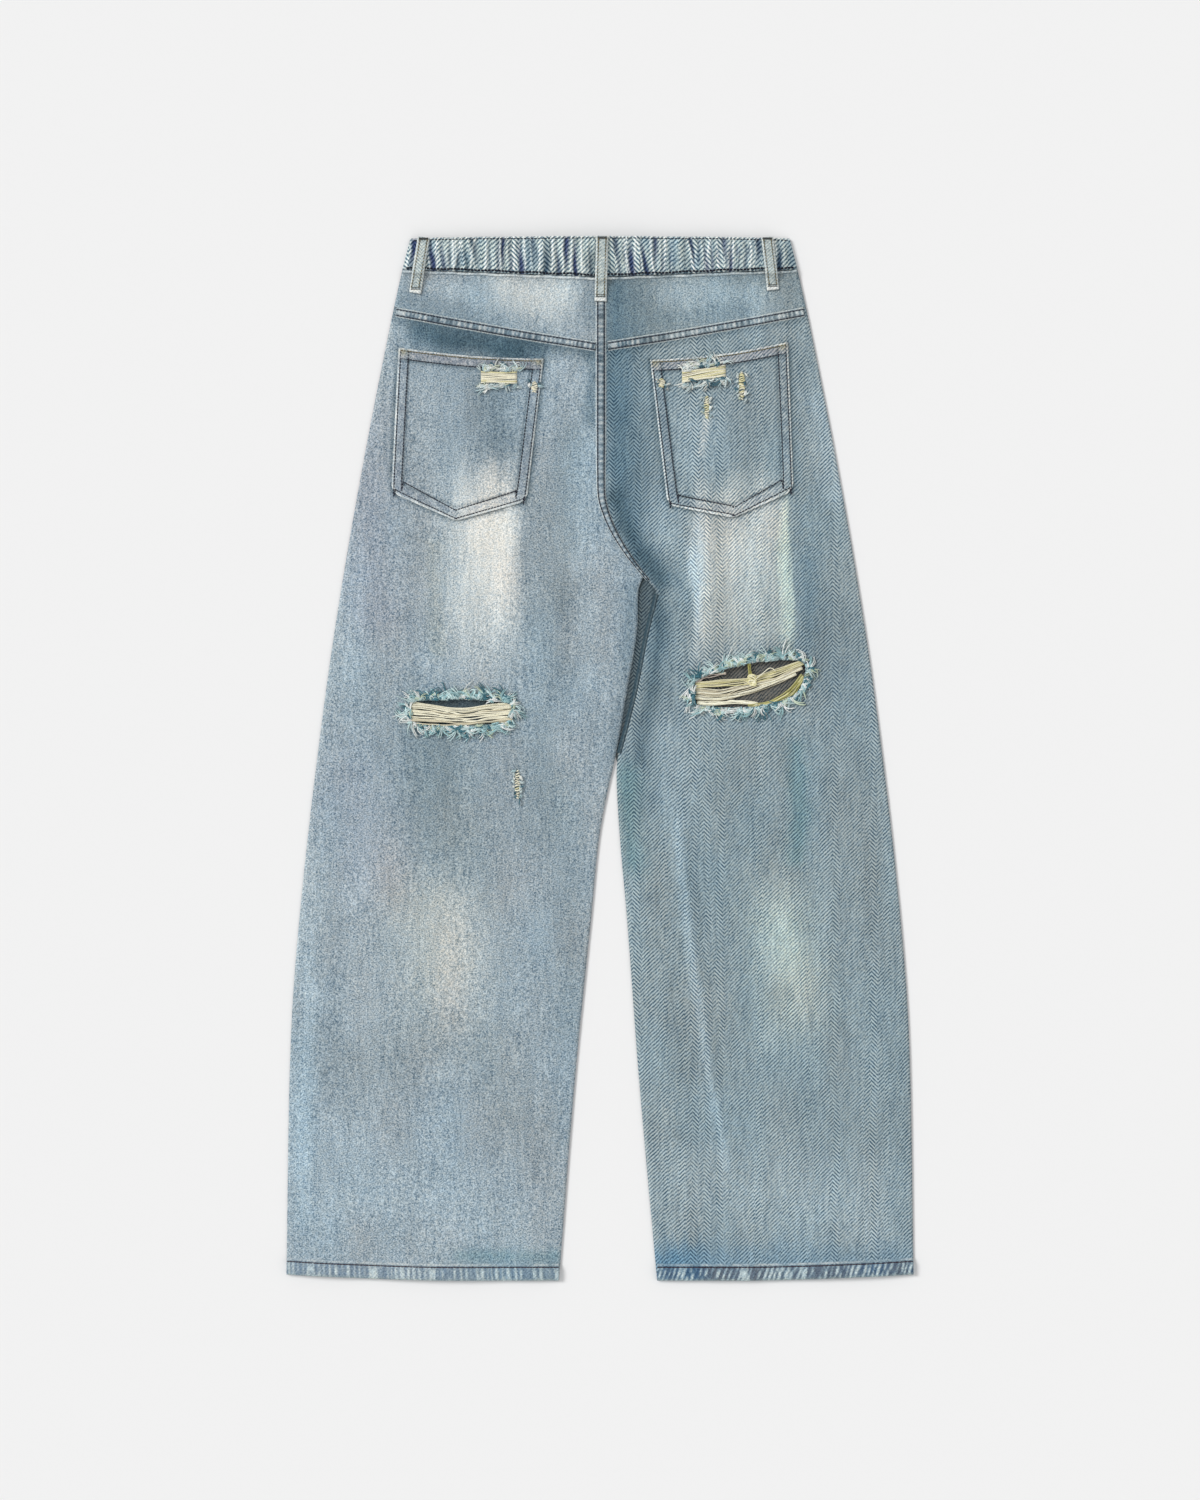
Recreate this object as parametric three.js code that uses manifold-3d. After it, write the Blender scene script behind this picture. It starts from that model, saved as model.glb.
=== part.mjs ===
// Baggy wide-leg jeans with ripped thighs, laid out flat with their back upwards.
// Millimetres. +X is to the right seen from above, +Y runs towards the waist and +Z is up.
// The origin is on the resting surface, under the middle of the whole garment.
// "Left" and "right" are the wearer's, which are also left and right seen from above.

import * as THREE from 'three';
import { mergeVertices } from 'three/addons/utils/BufferGeometryUtils.js';
import Module from 'manifold-3d';

// ---- Driving dimensions ------------------------------------------------------------

const GAP = 0.3; // clear space between sewn pieces
const SEAM_HALF_GAP = GAP / 2;
const CLOTH = 1.4; // wall of one layer of denim
const BAND_WALL = 2.6; // back waistband: doubled denim round a wide elastic
const FRONT_BAND_WALL = 2.2;

const WAIST_TOP = 522; // top edge of the back waistband at its middle
const WAIST_END_DROP = 1.2; // how much lower that edge is at the sides
const FRONT_BAND_TOP = 516;
const BAND_SEAM = { middle: 481, rise: 0.043 }; // seam under the waistband, rising outwards
const YOKE_SEAM = { middle: 416, rise: 0.155, bow: 0.0001 }; // shallow V of the yoke seam

const HEM = { bottom: -522, depth: 15, extra: 1.2, step: 1.5, flat: 150, lift: 6, run: 164 };

// Side edge of the garment, as [distance from the middle, height along Y].
const SIDE_EDGE = [
  [189.5, 522], [200, 480], [213, 419], [236.5, 299], [257.5, 179],
  [275.5, 59], [297, -121], [309, -271], [314, -522],
];

// Seat seam: straight down the middle, then sweeping over to the right leg's crotch point.
const SEAT = { x: 2, turn: 270, tip: [56.6, 168], bend: 1.7 };

// Inner edge of the left leg below the seat seam: a fold that lies over the right leg.
const LEFT_INNER = [
  [43.7, 183], [38.8, 169], [37.5, 130], [29, 78], [17.4, 11], [6, -41],
  [-1, -81], [-9, -161], [-25, -321], [-41, -522],
];

// Inner edge of the right leg below the crotch point, which is its inseam.
const RIGHT_INNER = [
  [56.6, 168], [46, 126], [34.6, 69], [25, 30], [18, 3], [16.5, -21],
  [20, -81], [27, -161], [39, -321], [57, -522],
];

// How far the left leg's back lies over the right front panel, and the heights between which
// that overlap fades out towards the waist and down the leg.
const FRONT_OVERLAP = { width: 6, waist: [200, 300], leg: [-30, 0] };
const LEGS_PART = [-4, 16]; // heights between which the two front panels part

// The waist rests on its button and front loops, which lift it off the surface.
const LIFT = { height: 2.7, from: 370, to: 470, full: 115, none: 175 };
const FLY_STACK = { height: 2.5, full: 30, none: 75, from: 300, to: 350 };
const BAND_STEP = { from: 14, to: 3 }; // where the back climbs over the thicker front band
const PUFF = { height: 2.2, edge: 34, crotch: [230, 150], hem: [-522, -400], hemKeep: 0.55 };

// Broad folds of the back: start, end, half width and height of each soft ridge or trough.
const FOLDS = [
  { a: [-70, 175], b: [-150, 60], w: 26, h: 0.7 },
  { a: [60, 150], b: [170, 40], w: 26, h: 0.7 },
  { a: [-40, 140], b: [-60, -40], w: 24, h: -0.6 },
  { a: [100, -60], b: [120, -330], w: 30, h: -0.6 },
  { a: [-150, -120], b: [-120, -400], w: 30, h: -0.6 },
  { a: [-230, 120], b: [-250, -160], w: 26, h: 0.6 },
  { a: [235, 120], b: [255, -160], w: 26, h: 0.6 },
  { a: [210, -200], b: [180, -430], w: 28, h: 0.6 },
];

const GATHER = { pitch: 16, height: 1.2, slant: 0.06, middle: 500, swing: 31, end: 12, columns: 90 };

// Back pockets: top left, top middle, top right, bottom right, tip and bottom left corner.
const POCKETS = {
  left: {
    top: [[-201.6, 411.4], [-128, 403], [-56.2, 400.1]],
    bottom: [[-208.5, 266], [-144, 238], [-72.3, 258]],
  },
  right: {
    top: [[50, 399], [122, 404.5], [188, 417]],
    bottom: [[66.6, 254], [133, 241], [193.6, 268]],
  },
};
const POCKET = { wall: 1.4, gap: 0.45, corner: 9, reach: 0.1, columns: 10, rows: 9 };

// Thigh rips, each a smooth closed outline through these points.
const RIPS = {
  left: [[-188, 48], [-184, 57], [-139, 59], [-94, 56], [-90, 46], [-95, 37], [-139, 33.5], [-184, 37]],
  right: [[96, 66], [100, 80], [149, 95], [198, 98], [204, 82], [192, 63], [150, 52.5], [100, 54]],
};
const RIP_SEGMENTS = 28;

// A back loop steps up onto the waistband below its seam, and stands clear above it.
const LOOP = {
  width: 12, wall: 1.5, tack: 9, gap: 0.7, stand: 0.9, step: [-9, -3], rise: [-4, 8], columns: 2,
};
const BACK_LOOPS = [
  { name: 'belt_loop_back_left', top: [-176, 521.5], end: [-185, 466] },
  { name: 'belt_loop_back_centre', top: [2.3, 522], end: [0.5, 457] },
  { name: 'belt_loop_back_right', top: [167, 521.5], end: [173, 469] },
];
const FRONT_LOOPS = [
  { name: 'belt_loop_front_left', x: -85 },
  { name: 'belt_loop_front_right', x: 85 },
];
const FRONT_LOOP = { top: 514, end: 462, drop: 0.9, rows: 8 };
const BACK_LOOP_ROWS = 12;

const UNDERLAP = { left: 18, right: -20, ramp: [58, 24] }; // front waistband ends at the fly
const FLY = { left: -6, right: 32, top: 476, bottom: 340, wall: 1.2, gap: 0.4, columns: 4, rows: 8 };
const BUTTON = { x: 0, y: 499, radius: 8.5, head: 2.4, edge: 0.8, shank: 2.3, hole: 3, segments: 20 };

// ---- Colours -----------------------------------------------------------------------

const DENIM = { color: 0x93a8b3, roughness: 0.92, metalness: 0 };
const BAND_DENIM = { color: 0x8398a6, roughness: 0.92, metalness: 0 };
const LOOP_DENIM = { color: 0x99a0a1, roughness: 0.92, metalness: 0 };
const METAL = { color: 0x8a7a5c, roughness: 0.4, metalness: 1 };

// ---- Small helpers -----------------------------------------------------------------

const mix = THREE.MathUtils.lerp;

function ease(from, to, value) {
  const t = THREE.MathUtils.clamp((value - from) / (to - from), 0, 1);
  return t * t * (3 - 2 * t);
}

// A smooth line through points that run downwards, giving x at a height y.
function lineThrough(points) {
  const last = points.length - 1;
  const slopes = points.map((point, k) => {
    const before = points[Math.max(k - 1, 0)];
    const after = points[Math.min(k + 1, last)];
    return (after[0] - before[0]) / (after[1] - before[1]);
  });
  return (y) => {
    const found = points.findIndex((point, k) => k > 0 && y >= point[1]);
    const k = found < 0 ? last : found;
    const span = points[k][1] - points[k - 1][1];
    const t = THREE.MathUtils.clamp((y - points[k - 1][1]) / span, 0, 1);
    const rise = t * t * (3 - 2 * t);
    const lead = t * (1 - t) * (1 - t) * slopes[k - 1];
    const trail = t * t * (1 - t) * slopes[k];
    return mix(points[k - 1][0], points[k][0], rise) + span * (lead - trail);
  };
}

function distanceToSegment(x, y, a, b) {
  const dx = b[0] - a[0];
  const dy = b[1] - a[1];
  const along = THREE.MathUtils.clamp(((x - a[0]) * dx + (y - a[1]) * dy) / (dx * dx + dy * dy), 0, 1);
  return Math.hypot(x - a[0] - along * dx, y - a[1] - along * dy);
}

// ---- Outlines ----------------------------------------------------------------------

const sideEdge = lineThrough(SIDE_EDGE);
const leftInner = lineThrough(LEFT_INNER);
const rightInner = lineThrough(RIGHT_INNER);
const leftSide = (y) => -sideEdge(y);

function seatSeam(y) {
  const fall = Math.max(SEAT.turn - y, 0) / (SEAT.turn - SEAT.tip[1]);
  return SEAT.x + (SEAT.tip[0] - SEAT.x) * fall ** SEAT.bend;
}

const waistTop = (x) => WAIST_TOP - WAIST_END_DROP * (x / SIDE_EDGE[0][0]) ** 2;
const bandSeam = (x) => BAND_SEAM.middle + BAND_SEAM.rise * Math.abs(x);
const yokeSeam = (x) => YOKE_SEAM.middle + YOKE_SEAM.rise * Math.abs(x) + YOKE_SEAM.bow * x * x;
const hemEdge = (x) => HEM.bottom + HEM.lift * (Math.max(Math.abs(x) - HEM.flat, 0) / HEM.run) ** 1.5;

const backLeftInner = (y) => (y > LEFT_INNER[0][1] ? seatSeam(y) : leftInner(y));
const backRightInner = (y) => (y > RIGHT_INNER[0][1] ? seatSeam(y) : rightInner(y));

// The front panels meet under the left leg at the crotch, and at the middle higher up.
function frontShift(y) {
  const { width, waist, leg } = FRONT_OVERLAP;
  return width * (1 - ease(...waist, y)) * ease(...leg, y);
}
const frontLeftInner = (y) => backLeftInner(y) - frontShift(y);
const frontRightInner = (y) => mix(backRightInner(y), frontLeftInner(y), ease(...LEGS_PART, y));

// ---- Heights -----------------------------------------------------------------------

function waistLift(x, y) {
  return LIFT.height * ease(LIFT.from, LIFT.to, y) * ease(LIFT.none, LIFT.full, Math.abs(x));
}

function folds(x, y) {
  return FOLDS.reduce((sum, fold) => {
    const away = distanceToSegment(x, y, fold.a, fold.b) / fold.w;
    return sum + fold.h * Math.exp(-away * away);
  }, 0);
}

// How far the back stands clear of the front: nothing at the edges, a few millimetres inside.
function puff(x, y) {
  const outer = ease(0, PUFF.edge, sideEdge(y) - Math.abs(x));
  const inner = x < backLeftInner(y) ? backLeftInner(y) - x : x - backRightInner(y);
  const legs = ease(PUFF.crotch[0], PUFF.crotch[1], y);
  const closed = mix(1, ease(0, PUFF.edge, inner), legs);
  const open = mix(PUFF.hemKeep, 1, ease(PUFF.hem[0], PUFF.hem[1], y));
  return outer * closed * open * (PUFF.height + folds(x, y));
}

const hemExtra = (x, y) => HEM.extra * ease(HEM.depth + HEM.step, HEM.depth, y - hemEdge(x));

const frontTop = (x, y) => waistLift(x, y) + CLOTH + hemExtra(x, y);

function backUnder(x, y) {
  const beside = ease(FLY_STACK.none, FLY_STACK.full, Math.abs(x));
  const fly = FLY_STACK.height * beside * ease(FLY_STACK.from, FLY_STACK.to, y);
  const band = (FRONT_BAND_WALL - CLOTH) * ease(bandSeam(x) - BAND_STEP.from, bandSeam(x) - BAND_STEP.to, y);
  return frontTop(x, y) + fly + band + GAP + puff(x, y);
}

const backTop = (x, y) => backUnder(x, y) + CLOTH + hemExtra(x, y);

// ---- Walls of cloth ----------------------------------------------------------------

// A closed wall over a grid of rows and columns. place(u, row) gives x and y.
function clothWall(columns, rows, place, under, over) {
  const width = columns + 1;
  const layer = width * (rows + 1);
  const positions = [];
  for (const height of [under, over]) {
    for (let row = 0; row <= rows; row += 1) {
      for (let column = 0; column <= columns; column += 1) {
        const [x, y] = place(column / columns, row);
        positions.push(x, y, height(x, y));
      }
    }
  }
  const index = [];
  const quad = (a, b, c, d) => index.push(a, b, c, a, c, d);
  for (let row = 0; row < rows; row += 1) {
    for (let column = 0; column < columns; column += 1) {
      const a = row * width + column;
      quad(a, a + 1, a + width + 1, a + width);
      quad(layer + a, layer + a + width, layer + a + width + 1, layer + a + 1);
    }
  }
  const border = [];
  for (let row = 0; row < rows; row += 1) border.push(row * width);
  for (let column = 0; column < columns; column += 1) border.push(rows * width + column);
  for (let row = rows; row > 0; row -= 1) border.push(row * width + columns);
  for (let column = columns; column > 0; column -= 1) border.push(column);
  border.forEach((p, k) => {
    const q = border[(k + 1) % border.length];
    quad(p, q, layer + q, layer + p);
  });
  const geometry = new THREE.BufferGeometry();
  geometry.setAttribute('position', new THREE.Float32BufferAttribute(positions, 3));
  geometry.setIndex(index);
  return geometry;
}

// The y where a cross line passes between two side lines, at the share u of the way across.
function heightOnLine(left, right, line, u) {
  let y = line(0);
  for (let pass = 0; pass < 4; pass += 1) y = line(mix(left(y), right(y), u));
  return y;
}

// A grid between a top and a bottom line and two side lines. shares lists the rows as parts of
// the way down from the top line to the bottom line.
function panelPlace(left, right, top, bottom, shares) {
  return (u, row) => {
    const upper = heightOnLine(left, right, top, u);
    const lower = heightOnLine(left, right, bottom, u);
    const y = mix(upper, lower, shares[row]);
    return [mix(left(y), right(y), u), y];
  };
}

// Rows given as heights at the garment's middle, as shares of the way down.
const sharesOf = (heights) => heights.map((height) => (heights[0] - height) / (heights[0] - heights.at(-1)));

const SEAT_COLUMNS = 10; // the same on a yoke and the panel below it, so that their seam fits
const BACK_ROWS = [
  YOKE_SEAM.middle - SEAM_HALF_GAP, 390, 362, 334, 306, 284, 265, 247, 230, 213, 198, 183, 169,
  150, 126, 98, 69, 40, 11, -21, -60, -110, -160, -215, -270, -325, -380, -435, -480,
  HEM.bottom + HEM.depth + HEM.step, HEM.bottom + HEM.depth, HEM.bottom,
];

const sewnBelow = (line) => (x) => line(x) - SEAM_HALF_GAP;
const sewnAbove = (line) => (x) => line(x) + SEAM_HALF_GAP;

function backPanel(left, right) {
  const place = panelPlace(left, right, sewnBelow(yokeSeam), hemEdge, sharesOf(BACK_ROWS));
  return clothWall(SEAT_COLUMNS, BACK_ROWS.length - 1, place, backUnder, backTop);
}

const FRONT_ROWS = [
  BAND_SEAM.middle - SEAM_HALF_GAP, 462, 443, 424, 405, 386, 367, 330, 290, 250, 215, 183, 169,
  126, 69, 16, -4, -30, -110, -190, -270, -350, -430,
  HEM.bottom + HEM.depth + HEM.step, HEM.bottom + HEM.depth, HEM.bottom,
];

const FRONT_COLUMNS = 7;

function frontPanel(left, right) {
  const place = panelPlace(left, right, sewnBelow(bandSeam), hemEdge, sharesOf(FRONT_ROWS));
  return clothWall(FRONT_COLUMNS, FRONT_ROWS.length - 1, place, waistLift, frontTop);
}

const YOKE_SHARES = [0, 0.25, 0.5, 0.75, 1];

function yoke(left, right) {
  const place = panelPlace(left, right, sewnBelow(bandSeam), sewnAbove(yokeSeam), YOKE_SHARES);
  return clothWall(SEAT_COLUMNS, YOKE_SHARES.length - 1, place, backUnder, backTop);
}

// Gathers of the elastic: soft pleats across the band, leaning a little one way and the other.
function gather(x, y) {
  const lean = GATHER.slant * (y - GATHER.middle) * Math.sin(x / GATHER.swing);
  return GATHER.height * Math.sin(((x + lean) / GATHER.pitch) * 2 * Math.PI);
}

function bandUnder(x, y) {
  const inside = ease(0, GATHER.end, sideEdge(y) - Math.abs(x));
  return backUnder(x, y) + GATHER.height + gather(x, y) * inside;
}

const bandTop = (x, y) => bandUnder(x, y) + BAND_WALL;

const BAND_SHARES = [0, 0.5, 1];

function backBand() {
  const place = panelPlace(leftSide, sideEdge, waistTop, sewnAbove(bandSeam), BAND_SHARES);
  return clothWall(GATHER.columns, BAND_SHARES.length - 1, place, bandUnder, bandTop);
}

const FRONT_BAND_COLUMNS = 22;

function frontBand(left, right, under) {
  const place = panelPlace(left, right, () => FRONT_BAND_TOP, sewnAbove(bandSeam), BAND_SHARES);
  const over = (x, y) => under(x, y) + FRONT_BAND_WALL;
  return clothWall(FRONT_BAND_COLUMNS, BAND_SHARES.length - 1, place, under, over);
}

function underlapLift(x, y) {
  return waistLift(x, y) + FLY_STACK.height * ease(UNDERLAP.ramp[0], UNDERLAP.ramp[1], x);
}

function flyPlacket() {
  const place = (u, row) => [mix(FLY.left, FLY.right, u), mix(FLY.top, FLY.bottom, row / FLY.rows)];
  const under = (x, y) => waistLift(x, y) + CLOTH + FLY.gap;
  return clothWall(FLY.columns, FLY.rows, place, under, (x, y) => under(x, y) + FLY.wall);
}

// ---- Pockets -----------------------------------------------------------------------

function pocket({ top, bottom }) {
  const { rows } = POCKET;
  const topLine = new THREE.SplineCurve(top.map((point) => new THREE.Vector2(...point)));
  const place = (u, row) => {
    const across = (1 - Math.cos(Math.PI * u)) / 2;
    const upper = topLine.getPoint(across);
    const side = across < 0.5 ? 0 : 1;
    const share = across * 2 - side;
    const fromEnd = Math.min(across, 1 - across) / POCKET.reach;
    const round = POCKET.corner * Math.max(1 - fromEnd, 0) ** 2;
    const x = mix(bottom[side][0], bottom[side + 1][0], share);
    const y = mix(bottom[side][1], bottom[side + 1][1], share) + round;
    return [mix(upper.x, x, row / rows), mix(upper.y, y, row / rows)];
  };
  const under = (x, y) => backTop(x, y) + POCKET.gap;
  return clothWall(POCKET.columns, rows, place, under, (x, y) => under(x, y) + POCKET.wall);
}

// ---- Belt loops --------------------------------------------------------------------

// A loop is tacked down at both ends and stands a little clear of the waistband between them.
function backLoop({ top, end }) {
  const rows = BACK_LOOP_ROWS;
  const place = (u, row) => [
    mix(top[0], end[0], row / rows) + (u - 0.5) * LOOP.width,
    mix(top[1], end[1], row / rows),
  ];
  const under = (x, y) => {
    const onBand = backUnder(x, y) + 2 * GATHER.height + BAND_WALL;
    const onYoke = backTop(x, y);
    const seam = bandSeam(x);
    const step = ease(...LOOP.step, y - seam);
    const stand = LOOP.stand * ease(top[1], top[1] - LOOP.tack, y) * ease(...LOOP.rise, y - seam);
    return mix(onYoke, onBand, step) + LOOP.gap + stand;
  };
  return clothWall(LOOP.columns, rows, place, under, (x, y) => under(x, y) + LOOP.wall);
}

function frontLoop({ x: middle }) {
  const { rows } = FRONT_LOOP;
  const place = (u, row) => [
    middle + (u - 0.5) * LOOP.width,
    mix(FRONT_LOOP.top, FRONT_LOOP.end, row / rows),
  ];
  const over = (x, y) => {
    const end = Math.min(FRONT_LOOP.top - y, y - FRONT_LOOP.end);
    return waistLift(x, y) - GAP - FRONT_LOOP.drop * ease(0, LOOP.tack, end);
  };
  return clothWall(LOOP.columns, rows, place, (x, y) => over(x, y) - LOOP.wall, over);
}

// ---- Button ------------------------------------------------------------------------

function waistButton() {
  const { radius, head, edge, shank, segments } = BUTTON;
  const top = LIFT.height + FRONT_BAND_WALL + SEAM_HALF_GAP;
  const profile = [
    [0, 0], [radius - edge, 0], [radius, edge], [radius, head - edge], [radius - edge, head],
    [shank, head], [shank, top], [0, top],
  ];
  const geometry = new THREE.LatheGeometry(profile.map((point) => new THREE.Vector2(...point)), segments);
  geometry.rotateX(Math.PI / 2);
  return geometry;
}

// ---- Holes -------------------------------------------------------------------------

const wasm = await Module();
wasm.setup();

function toManifold(geometry) {
  const bare = geometry.clone();
  bare.deleteAttribute('normal');
  bare.deleteAttribute('uv');
  const merged = mergeVertices(bare, 1e-4);
  return new wasm.Manifold(new wasm.Mesh({
    numProp: 3,
    vertProperties: new Float32Array(merged.attributes.position.array),
    triVerts: new Uint32Array(merged.index.array),
  }));
}

function toGeometry(solid) {
  const { vertProperties, triVerts } = solid.getMesh();
  const geometry = new THREE.BufferGeometry();
  geometry.setAttribute('position', new THREE.BufferAttribute(vertProperties, 3));
  geometry.setIndex(new THREE.BufferAttribute(triVerts, 1));
  return geometry;
}

const CUTTER_DEPTH = 40;

function cutRip(geometry, outline) {
  const curve = new THREE.CatmullRomCurve3(outline.map(([x, y]) => new THREE.Vector3(x, y, 0)), true);
  const hole = new THREE.Shape(curve.getPoints(RIP_SEGMENTS).map(({ x, y }) => new THREE.Vector2(x, y)));
  const cutter = new THREE.ExtrudeGeometry(hole, { depth: CUTTER_DEPTH, bevelEnabled: false });
  cutter.translate(0, 0, -CUTTER_DEPTH / 2);
  return toGeometry(toManifold(geometry).subtract(toManifold(cutter)));
}

function cutButtonhole(geometry) {
  const cutter = new THREE.CylinderGeometry(BUTTON.hole, BUTTON.hole, CUTTER_DEPTH, BUTTON.segments);
  cutter.rotateX(Math.PI / 2);
  cutter.translate(BUTTON.x, BUTTON.y, 0);
  return toGeometry(toManifold(geometry).subtract(toManifold(cutter)));
}

// ---- The garment -------------------------------------------------------------------

const jeans = new THREE.Group();

function add(name, geometry, look) {
  geometry.computeVertexNormals();
  const mesh = new THREE.Mesh(geometry, new THREE.MeshStandardMaterial(look));
  mesh.name = name;
  jeans.add(mesh);
  return mesh;
}

const before = (line) => (y) => line(y) - SEAM_HALF_GAP;
const after = (line) => (y) => line(y) + SEAM_HALF_GAP;

add('front_panel_left', frontPanel(leftSide, before(frontLeftInner)), DENIM);
add('front_panel_right', frontPanel(after(frontRightInner), sideEdge), DENIM);
add('fly_placket', flyPlacket(), DENIM);

const backLeft = backPanel(leftSide, before(backLeftInner));
const backRight = backPanel(after(backRightInner), sideEdge);
add('back_panel_left', cutRip(backLeft, RIPS.left), DENIM);
add('back_panel_right', cutRip(backRight, RIPS.right), DENIM);
add('back_yoke_left', yoke(leftSide, before(seatSeam)), DENIM);
add('back_yoke_right', yoke(after(seatSeam), sideEdge), DENIM);
add('back_pocket_left', pocket(POCKETS.left), DENIM);
add('back_pocket_right', pocket(POCKETS.right), DENIM);

const overlapEnd = () => UNDERLAP.left;
const underlapEnd = () => UNDERLAP.right;
const outerBand = frontBand(leftSide, overlapEnd, waistLift);
add('waistband_front_left', cutButtonhole(outerBand), BAND_DENIM);
add('waistband_front_right', frontBand(underlapEnd, sideEdge, underlapLift), BAND_DENIM);
add('waistband_back', backBand(), BAND_DENIM);

BACK_LOOPS.forEach((loop) => add(loop.name, backLoop(loop), LOOP_DENIM));
FRONT_LOOPS.forEach((loop) => add(loop.name, frontLoop(loop), LOOP_DENIM));

const button = add('waist_button', waistButton(), METAL);
button.position.set(BUTTON.x, BUTTON.y, 0);

export default jeans;
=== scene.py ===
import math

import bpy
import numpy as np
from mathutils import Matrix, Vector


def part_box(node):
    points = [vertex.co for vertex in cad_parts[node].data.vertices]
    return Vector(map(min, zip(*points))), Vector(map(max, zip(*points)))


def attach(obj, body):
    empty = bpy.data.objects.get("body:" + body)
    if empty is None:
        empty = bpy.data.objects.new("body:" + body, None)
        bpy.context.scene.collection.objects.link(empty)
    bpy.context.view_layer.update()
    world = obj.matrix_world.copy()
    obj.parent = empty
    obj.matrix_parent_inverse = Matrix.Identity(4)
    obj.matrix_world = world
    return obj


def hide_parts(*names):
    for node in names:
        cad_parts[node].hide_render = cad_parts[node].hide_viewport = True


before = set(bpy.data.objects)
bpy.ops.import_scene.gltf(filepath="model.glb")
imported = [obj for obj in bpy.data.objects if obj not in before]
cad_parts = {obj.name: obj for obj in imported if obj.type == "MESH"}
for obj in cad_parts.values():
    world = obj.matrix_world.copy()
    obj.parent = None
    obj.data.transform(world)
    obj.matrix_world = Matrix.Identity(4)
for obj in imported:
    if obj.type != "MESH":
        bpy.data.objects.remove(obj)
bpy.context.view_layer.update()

# Ripped wide-leg jeans, laid flat with their back upwards.
# The cloth is laid out in millimetres in the frame's own axes: +X to the right seen from above,
# +Y towards the waist, +Z up. Meshes are made in metres.

MM = 0.001
RNG = np.random.default_rng(11)


# ---- Sizes, the same as the CAD model's ---------------------------------------------

GAP = 0.3
CLOTH = 1.4
BAND_WALL = 2.6
FRONT_BAND_WALL = 2.2
WAIST_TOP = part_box("waistband_back")[1].y / MM
WAIST_END_DROP = 1.2
FRONT_BAND_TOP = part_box("waistband_front_left")[1].y / MM
BAND_SEAM = (481, 0.043)
YOKE_SEAM = (416, 0.155, 0.0001)
HEM_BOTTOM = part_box("front_panel_left")[0].y / MM
HEM_DEPTH = 15
HEM_EXTRA = 1.2
HEM_FLAT, HEM_LIFT, HEM_RUN = 150, 6, 164
SIDE_EDGE = [
    (189.5, 522), (200, 480), (213, 419), (236.5, 299), (257.5, 179),
    (275.5, 59), (297, -121), (309, -271), (314, -522),
]
SEAT_X, SEAT_TURN, SEAT_TIP, SEAT_BEND = 2, 270, (56.6, 168), 1.7
LEFT_INNER = [
    (43.7, 183), (38.8, 169), (37.5, 130), (29, 78), (17.4, 11), (6, -41),
    (-1, -81), (-9, -161), (-25, -321), (-41, -522),
]
RIGHT_INNER = [
    (56.6, 168), (46, 126), (34.6, 69), (25, 30), (18, 3), (16.5, -21),
    (20, -81), (27, -161), (39, -321), (57, -522),
]
FRONT_OVERLAP = 6
POCKETS = {
    "left": {
        "top": [(-201.6, 411.4), (-128, 403), (-56.2, 400.1)],
        "bottom": [(-208.5, 266), (-144, 238), (-72.3, 258)],
    },
    "right": {
        "top": [(50, 399), (122, 404.5), (188, 417)],
        "bottom": [(66.6, 254), (133, 241), (193.6, 268)],
    },
}
RIPS = {
    "left": [
        (-188, 48), (-184, 57), (-139, 59), (-94, 56), (-90, 46), (-95, 37), (-139, 33.5), (-184, 37),
    ],
    "right": [
        (96, 66), (100, 80), (149, 95), (198, 98), (204, 82), (192, 63), (150, 52.5), (100, 54),
    ],
}
RIP_WOBBLE = 0.9

# Thickness of the shells that are laid over the CAD solids, and the points across and along them.
BACK_SHELL, BAND_SHELL, POCKET_SHELL = 1.1, 2.2, 1.2
BACK_GRID, YOKE_GRID, FRONT_GRID = (108, 318), (100, 34), (44, 150)
BAND_GRID, FRONT_BAND_GRID, POCKET_GRID = (520, 46), (90, 12), (116, 132)

# Broad soft folds: from, to, half width and height.
FOLDS = [
    ((-70, 175), (-150, 60), 26, 0.7), ((60, 150), (170, 40), 26, 0.7),
    ((-40, 140), (-60, -40), 24, -0.6), ((100, -60), (120, -330), 30, -0.6),
    ((-150, -120), (-120, -400), 30, -0.6), ((-230, 120), (-250, -160), 26, 0.6),
    ((235, 120), (255, -160), 26, 0.6), ((210, -200), (180, -430), 28, 0.6),
]


# ---- Small helpers ------------------------------------------------------------------

def mix(a, b, t):
    return a + (b - a) * t


def blend(base, colour, share):
    """A base colour at each point mixed with another by a share at each point."""
    return base + (colour - base) * share[..., None]


def ease(start, end, value):
    t = np.clip((value - start) / (end - start), 0, 1)
    return t * t * (3 - 2 * t)


def bell(distance, width):
    return np.exp(-((distance / width) ** 2))


def line_through(points):
    """A smooth line through points that run downwards, giving x at a height y."""
    x, y = np.array(points[::-1], float).T
    slope = np.empty_like(x)
    slope[1:-1] = (x[2:] - x[:-2]) / (y[2:] - y[:-2])
    slope[0] = (x[1] - x[0]) / (y[1] - y[0])
    slope[-1] = (x[-1] - x[-2]) / (y[-1] - y[-2])

    def at(height):
        height = np.asarray(height, float)
        k = np.clip(np.searchsorted(y, height, side="right") - 1, 0, len(y) - 2)
        span = y[k + 1] - y[k]
        t = np.clip((height - y[k]) / span, 0, 1)
        lead = t * (1 - t) ** 2 * slope[k]
        trail = t * t * (1 - t) * slope[k + 1]
        return mix(x[k], x[k + 1], t * t * (3 - 2 * t)) + span * (lead - trail)

    return at


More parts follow.
